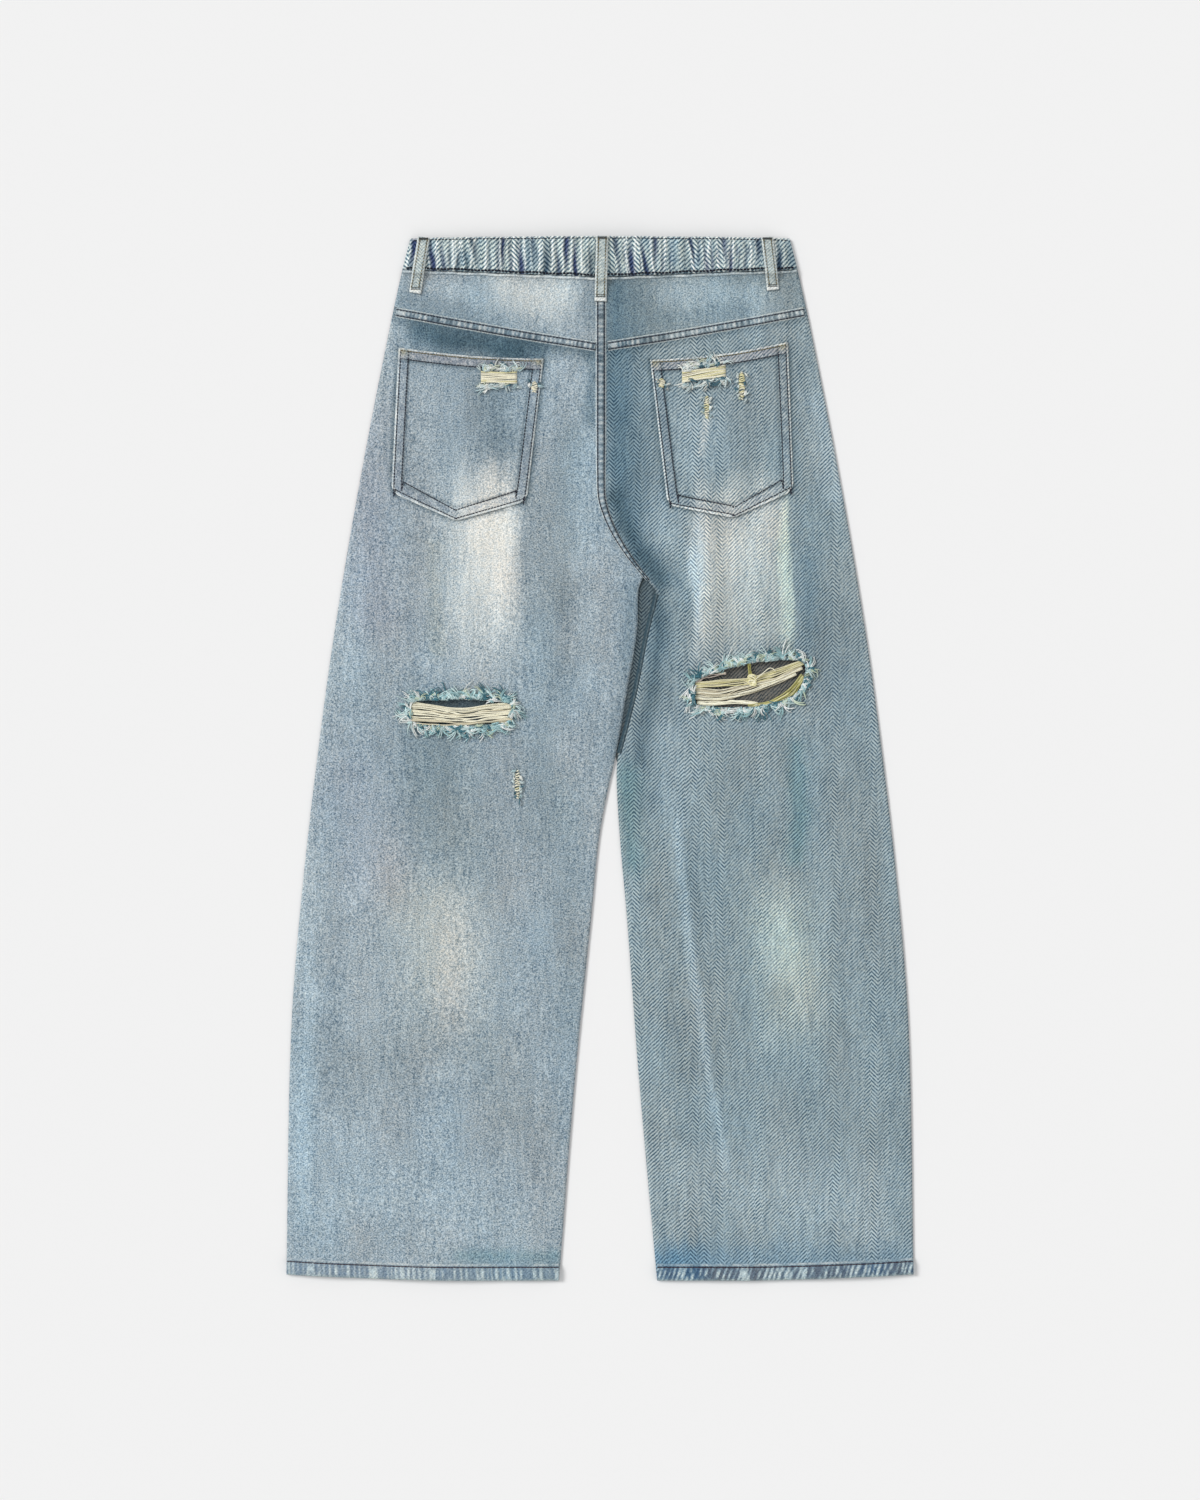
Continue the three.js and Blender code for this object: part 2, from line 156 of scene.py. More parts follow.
def distance_to_line(x, y, points):
    """Distance from each (x, y) to a line of straight stretches."""
    best = np.full(np.shape(x), 1e9)
    for (ax, ay), (bx, by) in zip(points[:-1], points[1:]):
        dx, dy = bx - ax, by - ay
        along = np.clip(((x - ax) * dx + (y - ay) * dy) / (dx * dx + dy * dy + 1e-9), 0, 1)
        best = np.minimum(best, np.hypot(x - ax - along * dx, y - ay - along * dy))
    return best


def smooth_noise(x, y, pitch, seed):
    """Soft random hills between -1 and 1, pitch millimetres apart."""
    table = np.random.default_rng(seed).uniform(-1, 1, (64, 64))
    u, v = np.asarray(x) / pitch, np.asarray(y) / pitch
    i, j = np.floor(u).astype(int), np.floor(v).astype(int)
    s, t = u - i, v - j
    s, t = s * s * (3 - 2 * s), t * t * (3 - 2 * t)
    near = mix(table[i % 64, j % 64], table[(i + 1) % 64, j % 64], s)
    far = mix(table[i % 64, (j + 1) % 64], table[(i + 1) % 64, (j + 1) % 64], s)
    return mix(near, far, t)


def path_length(path):
    return np.linalg.norm(np.diff(np.array(path, float), axis=0), axis=1).sum()


def sideways(line):
    """The direction across a line at each of its points."""
    along = np.gradient(line, axis=0)
    along /= np.linalg.norm(along, axis=1)[:, None]
    return np.stack([-along[:, 1], along[:, 0]], -1)


def cloudy(x, y, pitch, seed):
    """Soft random hills between 0 and 1."""
    return 0.5 + 0.5 * smooth_noise(x, y, pitch, seed)


def plain(x, colour):
    """One colour at every point of x."""
    return np.ones(np.shape(x) + (3,)) * colour


def spline(points, count, closed=False):
    """Evenly spaced points on a smooth curve through points."""
    p = np.array(points, float)
    if closed:
        p = np.vstack([p[-1], p, p[0], p[1]])
    else:
        p = np.vstack([2 * p[0] - p[1], p, 2 * p[-1] - p[-2]])
    dense = []
    for k in range(1, len(p) - 2):
        t = np.linspace(0, 1, 24, endpoint=False)[:, None]
        a, b, c, d = p[k - 1], p[k], p[k + 1], p[k + 2]
        dense.append(0.5 * (2 * b + (c - a) * t + (2 * a - 5 * b + 4 * c - d) * t * t
                            + (3 * b - a - 3 * c + d) * t ** 3))
    dense = np.vstack(dense + [p[-2][None]])
    length = np.concatenate([[0], np.cumsum(np.linalg.norm(np.diff(dense, axis=0), axis=1))])
    wanted = np.linspace(0, length[-1], count)
    return np.column_stack([np.interp(wanted, length, dense[:, k]) for k in range(dense.shape[1])])


# ---- Outlines -----------------------------------------------------------------------

side_edge = line_through(SIDE_EDGE)
left_inner_line = line_through(LEFT_INNER)
right_inner_line = line_through(RIGHT_INNER)


def left_side(y):
    return -side_edge(y)


def seat_seam(y):
    fall = np.maximum(SEAT_TURN - np.asarray(y, float), 0) / (SEAT_TURN - SEAT_TIP[1])
    return SEAT_X + (SEAT_TIP[0] - SEAT_X) * np.minimum(fall, 1) ** SEAT_BEND


def waist_top(x):
    return WAIST_TOP - WAIST_END_DROP * (x / SIDE_EDGE[0][0]) ** 2


def band_seam(x):
    return BAND_SEAM[0] + BAND_SEAM[1] * np.abs(x)


def yoke_seam(x):
    return YOKE_SEAM[0] + YOKE_SEAM[1] * np.abs(x) + YOKE_SEAM[2] * x * x


def hem_edge(x):
    return HEM_BOTTOM + HEM_LIFT * (np.maximum(np.abs(x) - HEM_FLAT, 0) / HEM_RUN) ** 1.5


def back_left_inner(y):
    return np.where(y > LEFT_INNER[0][1], seat_seam(y), left_inner_line(y))


def back_right_inner(y):
    return np.where(y > RIGHT_INNER[0][1], seat_seam(y), right_inner_line(y))


def front_left_inner(y):
    return back_left_inner(y) - FRONT_OVERLAP * (1 - ease(200, 300, y)) * ease(-30, 0, y)


def front_right_inner(y):
    return mix(back_right_inner(y), front_left_inner(y), ease(-4, 16, y))


# ---- Heights ------------------------------------------------------------------------

def waist_lift(x, y):
    return 2.7 * ease(370, 470, y) * ease(175, 115, np.abs(x))


def hem_extra(x, y):
    return HEM_EXTRA * ease(HEM_DEPTH + 1.5, HEM_DEPTH, y - hem_edge(x))


def front_top(x, y):
    return waist_lift(x, y) + CLOTH + hem_extra(x, y)


def inner_distance(x, y):
    left = back_left_inner(y)
    return np.where(x < left, left - x, np.abs(x - back_right_inner(y)))


def puff(x, y):
    outer = ease(0, 34, side_edge(y) - np.abs(x))
    closed = mix(1, ease(0, 34, inner_distance(x, y)), ease(230, 150, y))
    open_end = mix(0.55, 1, ease(HEM_BOTTOM, -400, y))
    broad = sum(h * bell(distance_to_line(x, y, [a, b]), w) for a, b, w, h in FOLDS)
    return outer * closed * open_end * (2.2 + broad)


def back_under(x, y):
    fly = 2.5 * ease(75, 30, np.abs(x)) * ease(300, 350, y)
    band = (FRONT_BAND_WALL - CLOTH) * ease(band_seam(x) - 14, band_seam(x) - 3, y)
    return front_top(x, y) + fly + band + GAP + puff(x, y)


# Creases, given one by one: points, half width and height, all in millimetres.
CREASES = [
    ([(70, -20), (77, -64), (87, -161), (99, -242), (109, -314), (127, -408)], 7, 1.5),
    ([(92, -30), (100, -120), (114, -230), (128, -330)], 11, -1.1),
    ([(60, 150), (62, 80), (52, 0), (48, -70)], 15, -1.6),
    ([(84, 120), (80, 40), (72, -20)], 12, 1.0),
    ([(60, 172), (84, 178), (116, 160)], 7, 0.9),
    ([(58, 160), (80, 152), (104, 120)], 6, -0.8),
    ([(22, 250), (44, 222), (70, 205)], 8, -1.0),
    ([(6, 380), (10, 330), (12, 290)], 9, -0.8),
    ([(30, 186), (12, 170), (-14, 120), (-26, 40)], 10, 0.9),
    ([(14, 150), (2, 60), (-10, -30)], 10, -0.8),
    ([(-46, 160), (-52, 60), (-60, -40), (-56, -140)], 10, 0.8),
    ([(-70, 120), (-78, 20), (-84, -60)], 9, -0.7),
    ([(-150, 26), (-156, -20), (-158, -70)], 14, -0.9),
    ([(-118, 24), (-112, -30), (-110, -100)], 12, 0.6),
    ([(-236, 250), (-240, 150), (-252, 40)], 12, 0.7),
    ([(-205, 200), (-214, 100), (-222, 0), (-230, -90)], 13, -0.6),
    ([(-270, -60), (-276, -180), (-280, -300)], 14, 0.6),
    ([(-205, -180), (-190, -280), (-196, -390)], 15, -0.6),
    ([(-70, -210), (-82, -320), (-92, -430)], 14, 0.7),
    ([(192, 20), (200, -60), (206, -130)], 8, -0.9),
    ([(214, 60), (222, -60), (236, -170)], 12, 0.8),
    ([(262, -60), (270, -200), (270, -320)], 13, -0.6),
    ([(160, -240), (180, -330), (176, -430)], 13, 0.6),
    ([(228, 330), (238, 240), (248, 170)], 10, -0.6),
    ([(208, 180), (214, 120), (206, 90)], 9, 0.8),
    ([(150, 108), (146, 150), (150, 220)], 12, -0.5),
    ([(170, 476), (160, 462), (120, 452)], 7, -0.5),
    ([(-20, 470), (-50, 448), (-86, 438)], 9, 0.5),
    ([(-14, 404), (-34, 392)], 4, 0.8), ([(-18, 398), (-30, 376)], 4, -0.8),
    ([(20, 404), (40, 396)], 4, 0.7), ([(64, 410), (78, 402)], 4, 0.6),
    ([(150, 430), (166, 424)], 4, 0.6),
    ([(-196, 452), (-176, 440)], 5, 0.7), ([(-160, 470), (-150, 448)], 5, -0.6),
    ([(180, 470), (192, 452)], 5, 0.7), ([(190, 476), (200, 460)], 4, -0.6),
]

# Gathers of the waistband: x at the top, x at the bottom, half width and depth.
PLEATS = [
    (-184, -190, 3.4, 1.0), (-169, -166.5, 3.0, 1.0), (-159.5, -155, 2.8, 0.6),
    (-149, -151, 2.2, 0.3), (-140.5, -142, 2.2, 0.7), (-135, -132.5, 2.2, 0.6),
    (-128, -120.5, 3.0, 0.75), (-110, -110, 2.2, 0.35), (-102, -101, 2.2, 0.5),
    (-96.3, -97.5, 2.0, 0.9), (-89, -89, 2.2, 0.45), (-81.5, -78.5, 3.4, 0.85),
    (-67, -65.5, 2.2, 0.45), (-53, -54, 3.6, 0.75), (-44, -41.5, 2.6, 0.75),
    (-34, -34, 2.6, 1.0), (-26.3, -24.8, 2.2, 1.0), (-10, -9, 2.4, 0.5),
    (15, 21, 2.6, 0.6), (30.5, 32, 3.4, 1.0), (40.5, 46.7, 2.8, 1.0), (56, 56, 2.6, 0.75),
    (63.5, 63.5, 2.4, 0.5), (75, 73, 2.0, 0.25), (89.5, 95.7, 2.0, 0.85),
    (102, 108, 2.2, 0.65), (111, 112.5, 2.0, 0.5), (123, 127, 2.4, 0.6),
    (131.5, 130, 2.2, 0.75), (144, 146, 2.0, 0.3), (158.5, 158, 3.0, 0.65), (179, 180, 3.2, 1.0),
]
RIDGES = [
    (-163, -163), (-146, -147), (-137.4, -147), (-124.3, -131), (-113, -114), (-99, -99.8),
    (-84.5, -87), (-76, -75), (-60, -61), (-47, -48.5), (-28.6, -29.4), (-19, -18),
    (23, 30.6), (36, 33.6), (50.5, 54), (66, 64), (87, 94.5), (110, 104), (117, 118),
    (132.6, 132), (150, 151), (168, 169),
]


def fine_gathers():
    """Small creases between the main gathers: x, lean, top, bottom, half width and depth."""
    rng = np.random.default_rng(41)
    found = []
    for x in np.arange(-186, 188, 3.1):
        start = rng.uniform(-0.1, 0.55)
        found.append((x + rng.uniform(-1.8, 1.8), rng.normal(0, 3),
                      start, start + rng.uniform(0.3, 0.8), rng.uniform(0.6, 1.5),
                      rng.uniform(0.05, 0.55) * rng.choice([1, 1, -0.9])))
    return found


FINE = fine_gathers()


def gathers(x, y):
    """Depth of the waistband's troughs and height of its sharp ridges, both from 0 to 1."""
    down = np.clip((waist_top(x) - y) / (waist_top(x) - band_seam(x)), -0.2, 1.6)
    sway = 1.1 * smooth_noise(x, y, 13, 42)
    trough, ridge = np.zeros(np.shape(x)), np.zeros(np.shape(x))
    for k, (top, bottom, width, depth) in enumerate(PLEATS):
        d = x + sway - mix(top, bottom, down)
        taper = np.clip(0.4 + 0.6 * np.cos(2.3 * (down - (0.9 if k % 3 else 0.1))), 0.08, 1)
        trough = np.maximum(trough, depth * taper * bell(d, width * (0.35 + 0.65 * taper)))
        ridge = np.maximum(ridge, 0.7 * depth * bell(d + width * 1.25, 1.1))
    for k, (top, bottom) in enumerate(RIDGES):
        taper = 0.6 + 0.4 * np.cos(2.4 * (down - (0.3 if k % 2 else 0.8)))
        ridge = np.maximum(ridge, taper * bell(x + sway - mix(top, bottom, down), 1.2))
    for at, lean, start, end, width, depth in FINE:
        mask = ease(start, start + 0.2, down) * ease(end + 0.2, end, down)
        mask = mask * bell(x + sway - at - lean * down, width)
        trough = np.maximum(trough, depth * mask)
        ridge = np.maximum(ridge, -depth * mask)
    return np.clip(trough, 0, 1), np.clip(ridge, 0, 1)


def relief(x, y):
    """What the cloth does on top of the CAD surface: creases, waves and lifted rip edges."""
    height = np.zeros(np.shape(x))
    for points, width, rise in CREASES:
        height = height + rise * bell(distance_to_line(x, y, points), width)
    height = height + 0.8 * smooth_noise(x, y * 0.4 + 300, 46, 3)
    height = height + 0.25 * smooth_noise(x + 90, y * 0.6, 17, 4)
    for outline in RIPS.values():
        height = height + 0.9 * bell(distance_to_line(x, y, outline + outline[:1]), 8)
    below = band_seam(x) - y
    trough, ridge = gathers(x, y)
    height = height + (0.6 * ridge - 1.0 * trough) * ease(22, 0, below) * ease(-3, 0, below)
    inner = mix(60, inner_distance(x, y), ease(230, 150, y))
    return height * ease(0, 26, np.minimum(side_edge(y) - np.abs(x), inner))


def back_surface(x, y):
    """Top of the back panels and yokes."""
    return back_under(x, y) + CLOTH + relief(x, y)


# ---- Wash: colours of the denim by place --------------------------------------------

def linear(rgb):
    c = np.array(rgb, float) / 255
    return np.where(c <= 0.04045, c / 12.92, ((c + 0.055) / 1.055) ** 2.4)


# Some of these colours stand for painted shade: the darkest blue, the trough colours of the seams,
# gathers, pocket puckers and hems, and the dark ring round the rips' fringe. The strip between the legs
# and the insides of the legs are their own denim colours darkened as painted shade. The deep blue is
# painted shade in some patches and dye in others.
WASH = {name: linear(rgb) for name, rgb in {
    "left": (153, 168, 177), "right": (136, 153, 160), "cream": (232, 230, 222),
    "pale": (206, 212, 211), "warm": (193, 196, 190), "deep": (92, 119, 134),
    "darkest_shade": (62, 86, 98), "teal": (104, 142, 150), "mint": (206, 222, 212),
    "mint_grey": (190, 203, 196), "sky": (176, 198, 210), "grey": (128, 144, 151),
    "lilac": (160, 165, 176), "indigo": (62, 72, 104), "green_grey": (150, 160, 156),
    "olive": (150, 146, 110),
    "hem_blue": (78, 128, 160), "hem_teal": (96, 140, 158), "tuft_shadow": (70, 108, 120),
    "tuft_pale": (190, 220, 220), "seam_trough_shade": (46, 66, 78), "seam_row": (70, 76, 88),
    "seam_edge": (222, 230, 228), "inseam_shine": (130, 146, 152), "band_pale": (184, 194, 188),
    "band_blue": (120, 152, 172), "trough_shade_teal": (50, 78, 92), "trough_shade_blue": (46, 58, 104),
    "band_ridge": (228, 236, 234), "band_foot": (60, 76, 92), "ledge": (232, 238, 236),
    "pocket_hem": (178, 176, 176), "pocket_rim": (228, 234, 232), "hem_dark": (44, 78, 112),
    "hem_grey": (92, 98, 108), "hem_pale": (206, 220, 220), "loop_warm": (160, 160, 146),
    "loop_groove": (92, 100, 110), "loop_edge": (222, 226, 222), "loop_fold": (232, 234, 230),
    "band": (152, 170, 174), "loop": (178, 190, 190), "hem_left": (98, 122, 144),
    "inner_leg_in_shade": (84, 99, 106), "loop_tack": (90, 92, 92), "inside_left": (104, 78, 76),
    "inside_right": (100, 100, 97),
}.items()}

# Soft patches of each side: colour, strength, half width and the line along the middle.
PATCHES = {
    "left": [
        ("warm", 0.52, 32, [(-166, -152), (-158, -208)]),
        ("warm", 0.38, 50, [(-176, -130), (-150, -250)]),
        ("grey", 0.85, 44, [(-172, 4), (-158, -70)]),
        ("grey", 0.40, 26, [(-60, 250), (-56, -60)]),
        ("sky", 0.35, 26, [(-286, -110), (-296, -170)]),
        ("sky", 0.30, 30, [(-264, 170), (-270, 90)]),
        ("sky", 0.22, 50, [(-250, -420), (-100, -470)]),
        ("lilac", 0.45, 30, [(-240, 330), (-228, 150)]),
        ("sky", 0.45, 12, [(-292, -200), (-298, -460)]),
        ("lilac", 0.35, 40, [(-250, -20), (-230, -100)]),
        ("grey", 0.35, 44, [(-236, -300), (-190, -290)]),
        ("grey", 0.45, 34, [(-110, -290), (-96, -350)]),
        ("grey", 0.35, 22, [(-34, -20), (-30, -260)]),
        ("green_grey", 0.45, 9, [(-168, 215), (-163, 110)]),
        ("grey", 0.45, 14, [(-30, 330), (-36, 150)]),
        ("sky", 0.28, 12, [(-12, 395), (-20, 230), (-8, 80)]),
        # The next three: painted shade in the hollow between the raised yoke seam and the pocket's top.
        ("deep", 0.80, 15, [(-180, 424), (-120, 415), (-66, 410)]),
        ("darkest_shade", 0.85, 12, [(-160, 420), (-120, 413), (-84, 408)]),
        ("darkest_shade", 0.45, 8, [(-186, 432), (-120, 422), (-12, 404)]),
        ("deep", 0.50, 26, [(-112, 372), (-104, 320)]),
        ("deep", 0.60, 9, [(-6, 408), (-10, 340)]),
        ("deep", 0.40, 10, [(36, 168), (26, 80), (16, 10)]),
        ("deep", 0.38, 26, [(-190, 456), (-110, 440)]),
        ("deep", 0.40, 10, [(-12, 470), (-8, 440)]),
        ("pale", 0.80, 24, [(-96, 474), (-44, 460)]),
        ("sky", 0.35, 14, [(-150, 470), (-120, 462)]),
        ("teal", 0.40, 6, [(-140, -497), (-44, -498)]),
    ],
    "right": [
        # The first five: painted shadow right of the raised seat seam, and painted shade in the trough
        # along the crotch curve.
        ("deep", 0.85, 13, [(16, 470), (14, 380), (20, 310), (20, 262), (38, 214), (62, 180)]),
        ("deep", 0.62, 22, [(26, 400), (30, 300), (34, 262)]),
        ("deep", 0.40, 18, [(26, 468), (34, 432)]),
        ("darkest_shade", 0.70, 9, [(14, 262), (34, 216), (58, 182), (58, 120), (50, 60), (40, 0)]),
        ("deep", 0.34, 26, [(66, 150), (64, 60), (46, -30)]),
        ("sky", 0.30, 16, [(62, 262), (66, 226)]),
        ("sky", 0.45, 24, [(76, 462), (150, 456)]),
        ("deep", 0.35, 12, [(60, 440), (140, 448)]),
        ("teal", 0.62, 14, [(26, -20), (32, -100)]),
        ("grey", 0.75, 34, [(130, 366), (130, 320)]),
        ("teal", 0.60, 9, [(196, 12), (201, -60), (196, -96)]),
        ("mint_grey", 0.54, 22, [(182, -168), (192, -204)]),
        ("mint_grey", 0.34, 40, [(180, -150), (196, -240)]),
        ("sky", 0.42, 5, [(77, -64), (87, -161), (99, -242), (109, -314), (127, -408)]),
        ("sky", 0.30, 20, [(70, 30), (80, -60)]),
        ("grey", 0.45, 30, [(225, 130), (232, -40)]),
        ("grey", 0.35, 40, [(240, -120), (250, -260)]),
        ("sky", 0.25, 26, [(100, 330), (96, 300)]),
        ("pale", 0.50, 4, [(107, 340), (104, 322), (100, 306)]),
        ("sky", 0.28, 50, [(120, -430), (260, -450)]),
        ("deep", 0.45, 8, [(207, 196), (209, 112)]),
        ("deep", 0.30, 30, [(222, 150), (216, 100)]),
        ("sky", 0.40, 16, [(222, 350), (236, 270)]),
    ],
}

# Worn fades with straighter sides: colour, strength, left and right with their softness, top and
# bottom with their softness.
FADES = {
    "left": [
        ("pale", 0.72, (-156, 26), (-78, 10), (278, 44), (104, 80)),
        ("cream", 0.92, (-134, 22), (-86, 12), (256, 34), (168, 70)),
        ("cream", 0.30, (-120, 14), (-88, 10), (288, 20), (250, 20)),
    ],
    "right": [
        ("warm", 0.42, (100, 12), (187, 5), (268, 44), (104, 30)),
        ("pale", 0.57, (120, 22), (178, 16), (262, 40), (170, 60)),
        ("pale", 0.85, (93, 8), (107, 10), (262, 50), (120, 50)),
        ("sky", 0.60, (92, 5), (101, 5), (236, 40), (112, 40)),
        ("mint", 0.74, (181, 7), (190, 4), (256, 36), (112, 30)),
    ],
}


def rise_at(border, value):
    """From 0 to 1 across a soft border, given as its place and its softness."""
    place, softness = border
    return ease(place - softness, place + softness, value)


def fall_at(border, value):
    place, softness = border
    return ease(place + softness, place - softness, value)


def wash(x, y, side):
    """Linear colour of the denim at each point of the left or right half."""
    colour = plain(x, WASH[side])
    for name, strength, width, points in PATCHES[side]:
        wobble = 0.35 * width * smooth_noise(x, y, 1.3 * width + 6, 21)
        mask = strength * bell(np.maximum(distance_to_line(x, y, points) + wobble, 0), width)
        colour = blend(colour, WASH[name], mask)
    u = x + 5 * smooth_noise(x, y * 0.3, 15, 22)
    v = y + 12 * smooth_noise(x, y * 0.1, 9, 23)
    for name, strength, start, end, top, bottom in FADES[side]:
        mask = rise_at(start, u) * fall_at(end, u) * fall_at(top, v) * rise_at(bottom, v)
        colour = blend(colour, WASH[name], strength * mask)
    ragged = y + 8 * smooth_noise(x, y * 0.25, 7, 25) + 4 * smooth_noise(x, y * 0.3, 2.6, 26)
    if side == "right":
        hem_blue = ease(-470, -504, ragged) * (0.3 + 0.45 * bell(x - 72, 38))
        colour = blend(colour, WASH["hem_blue"], hem_blue)
    else:
        hem_blue = 0.32 * ease(-480, -503, ragged) * ease(-200, -90, x)
        colour = blend(colour, WASH["hem_teal"], hem_blue)
    # A ring of painted shadow from the fringe's tufts on the cloth round the rip, broken by the fibres'
    # pale colour.
    beyond_rip = distance_to_line(x, y, RIPS[side] + RIPS[side][:1]) - 3
    tuft = smooth_noise(x, y, 3.4, 24)
    colour = blend(colour, WASH["tuft_shadow"], 0.6 * bell(beyond_rip, 5.5) * ease(0.3, -0.3, tuft))
    colour = blend(colour, WASH["tuft_pale"], 0.7 * bell(beyond_rip, 4.5) * ease(-0.1, 0.5, tuft))
    streak = smooth_noise(x, y * 0.06, 7, 31) * 0.6 + smooth_noise(x, y * 0.12, 17, 32)
    cloud = smooth_noise(x, y, 34, 33) + 0.6 * smooth_noise(x, y, 13, 34)
    hue = smooth_noise(x, y * 0.5, 30, 35)[..., None] * np.array([0.05, 0.0, -0.03])
    shade = 1 + 0.06 * streak + 0.055 * cloud
    return np.clip(colour * shade[..., None] * (1 + hue), 0, 1)


def wash_any(x, y):
    """The wash on whichever half each point belongs to."""
    between_legs = mix(back_left_inner(y), back_right_inner(y), 0.5)
    left = x < np.where(y > LEFT_INNER[0][1], seat_seam(y), between_legs)
    return np.where(left[..., None], wash(x, y, "left"), wash(x, y, "right"))


# ---- Meshes -------------------------------------------------------------------------

def make_object(name, points, faces, colours, material):
    """A smooth mesh with a colour at each point, on the part's one body."""
    mesh = bpy.data.meshes.new(name)
    mesh.from_pydata((points * MM).tolist(), [], faces)
    mesh.polygons.foreach_set("use_smooth", np.ones(len(mesh.polygons), bool))
    layer = mesh.color_attributes.new("wash", "FLOAT_COLOR", "POINT")
    layer.data.foreach_set("color", np.column_stack([colours, np.ones(len(points))]).ravel())
    mesh.materials.append(material)
    mesh.update()
    piece = bpy.data.objects.new(name, mesh)
    bpy.context.collection.objects.link(piece)
    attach(piece, "root")
    return piece


def cloth(name, x, y, z, wall, colours, material, keep=None):
    """A closed thin wall under a grid of points. keep says which cells exist."""
    rows, columns = x.shape
    top = np.stack([x, y, z], -1).reshape(-1, 3)
    bottom = np.stack([x, y, z - wall], -1).reshape(-1, 3)
    number = np.arange(rows * columns).reshape(rows, columns)
    if keep is None:
        keep = np.ones((rows - 1, columns - 1), bool)
    a, b = number[:-1, :-1], number[:-1, 1:]
    c, d = number[1:, 1:], number[1:, :-1]
    faces = [np.stack([a, d, c, b], -1)[keep], np.stack([a, b, c, d], -1)[keep] + rows * columns]
    padded = np.pad(keep, 1)
    sides = [
        (padded[:-2, 1:-1], b, a), (padded[2:, 1:-1], d, c),
        (padded[1:-1, :-2], a, d), (padded[1:-1, 2:], c, b),
    ]
    for neighbour, p, q in sides:
        edge = keep & ~neighbour
        lower = rows * columns
        faces.append(np.stack([p[edge] + lower, q[edge] + lower, q[edge], p[edge]], -1))
    faces = np.vstack(faces)
    used, faces = np.unique(faces, return_inverse=True)
    points = np.vstack([top, bottom])[used]
    tint = np.vstack([colours.reshape(-1, 3)] * 2)[used]
    return make_object(name, points, faces.reshape(-1, 4).tolist(), tint, material)


def strip(name, path, half, profile, colour, material, surface=back_surface, across=9, step=1.3,
          wall=0.9):
    """A band of cloth along a path. half is its half width, profile(s, u) its height over the
    surface and colour(s, u, x, y) its colour, where s runs along it and u from -1 to 1 across."""
    length = path_length(path)
    line = spline(path, max(int(length / step), 8))
    normal = sideways(line)
    u = np.linspace(-1, 1, across)[None, :]
    s = np.linspace(0, length, len(line))[:, None] + 0 * u
    u = u + 0 * s
    width = half(s) if callable(half) else half
    x = line[:, :1] + normal[:, :1] * u * width
    y = line[:, 1:] + normal[:, 1:] * u * width
    z = surface(x, y) + profile(s, u)
    return cloth(name, x, y, z, wall, colour(s, u, x, y), material)


def tubes(name, paths, radii, colours, material, slot, sides=5):
    """Many round threads in one mesh. radii holds one number or one for each point of a path."""
    points, faces, tints, start = [], [], [], 0
    turn = np.linspace(0, 2 * np.pi, sides, endpoint=False)
    for path, radius, tint in zip(paths, radii, colours):
        path = np.asarray(path, float)
        along = np.gradient(path, axis=0)
        along /= np.linalg.norm(along, axis=1)[:, None] + 1e-9
        up = np.where(np.abs(along[:, 2:]) > 0.9, [[1.0, 0, 0]], [[0, 0, 1.0]])
        across = np.cross(along, up)
        across /= np.linalg.norm(across, axis=1)[:, None] + 1e-9
        lift = np.cross(across, along)
        size = np.ones(len(path)) * radius
        ring = across[:, None] * np.cos(turn)[:, None] + lift[:, None] * np.sin(turn)[:, None]
        rings = path[:, None] + ring * size[:, None, None]
        n = len(path)
        points.append(rings.reshape(-1, 3))
        tints.append(np.ones((n * sides, 3)) * tint)
        k = np.arange(n - 1)[:, None] * sides
        j = np.arange(sides)[None, :]
        nxt = (j + 1) % sides
        quads = np.stack([k + j, k + nxt, k + sides + nxt, k + sides + j], -1).reshape(-1, 4)
        faces.extend((quads + start).tolist())
        faces.append((np.arange(sides)[::-1] + start).tolist())
        faces.append((np.arange(sides) + start + (n - 1) * sides).tolist())
        start += n * sides
    return make_object(name, np.vstack(points), faces, np.vstack(tints), material)


# ---- Materials ----------------------------------------------------------------------

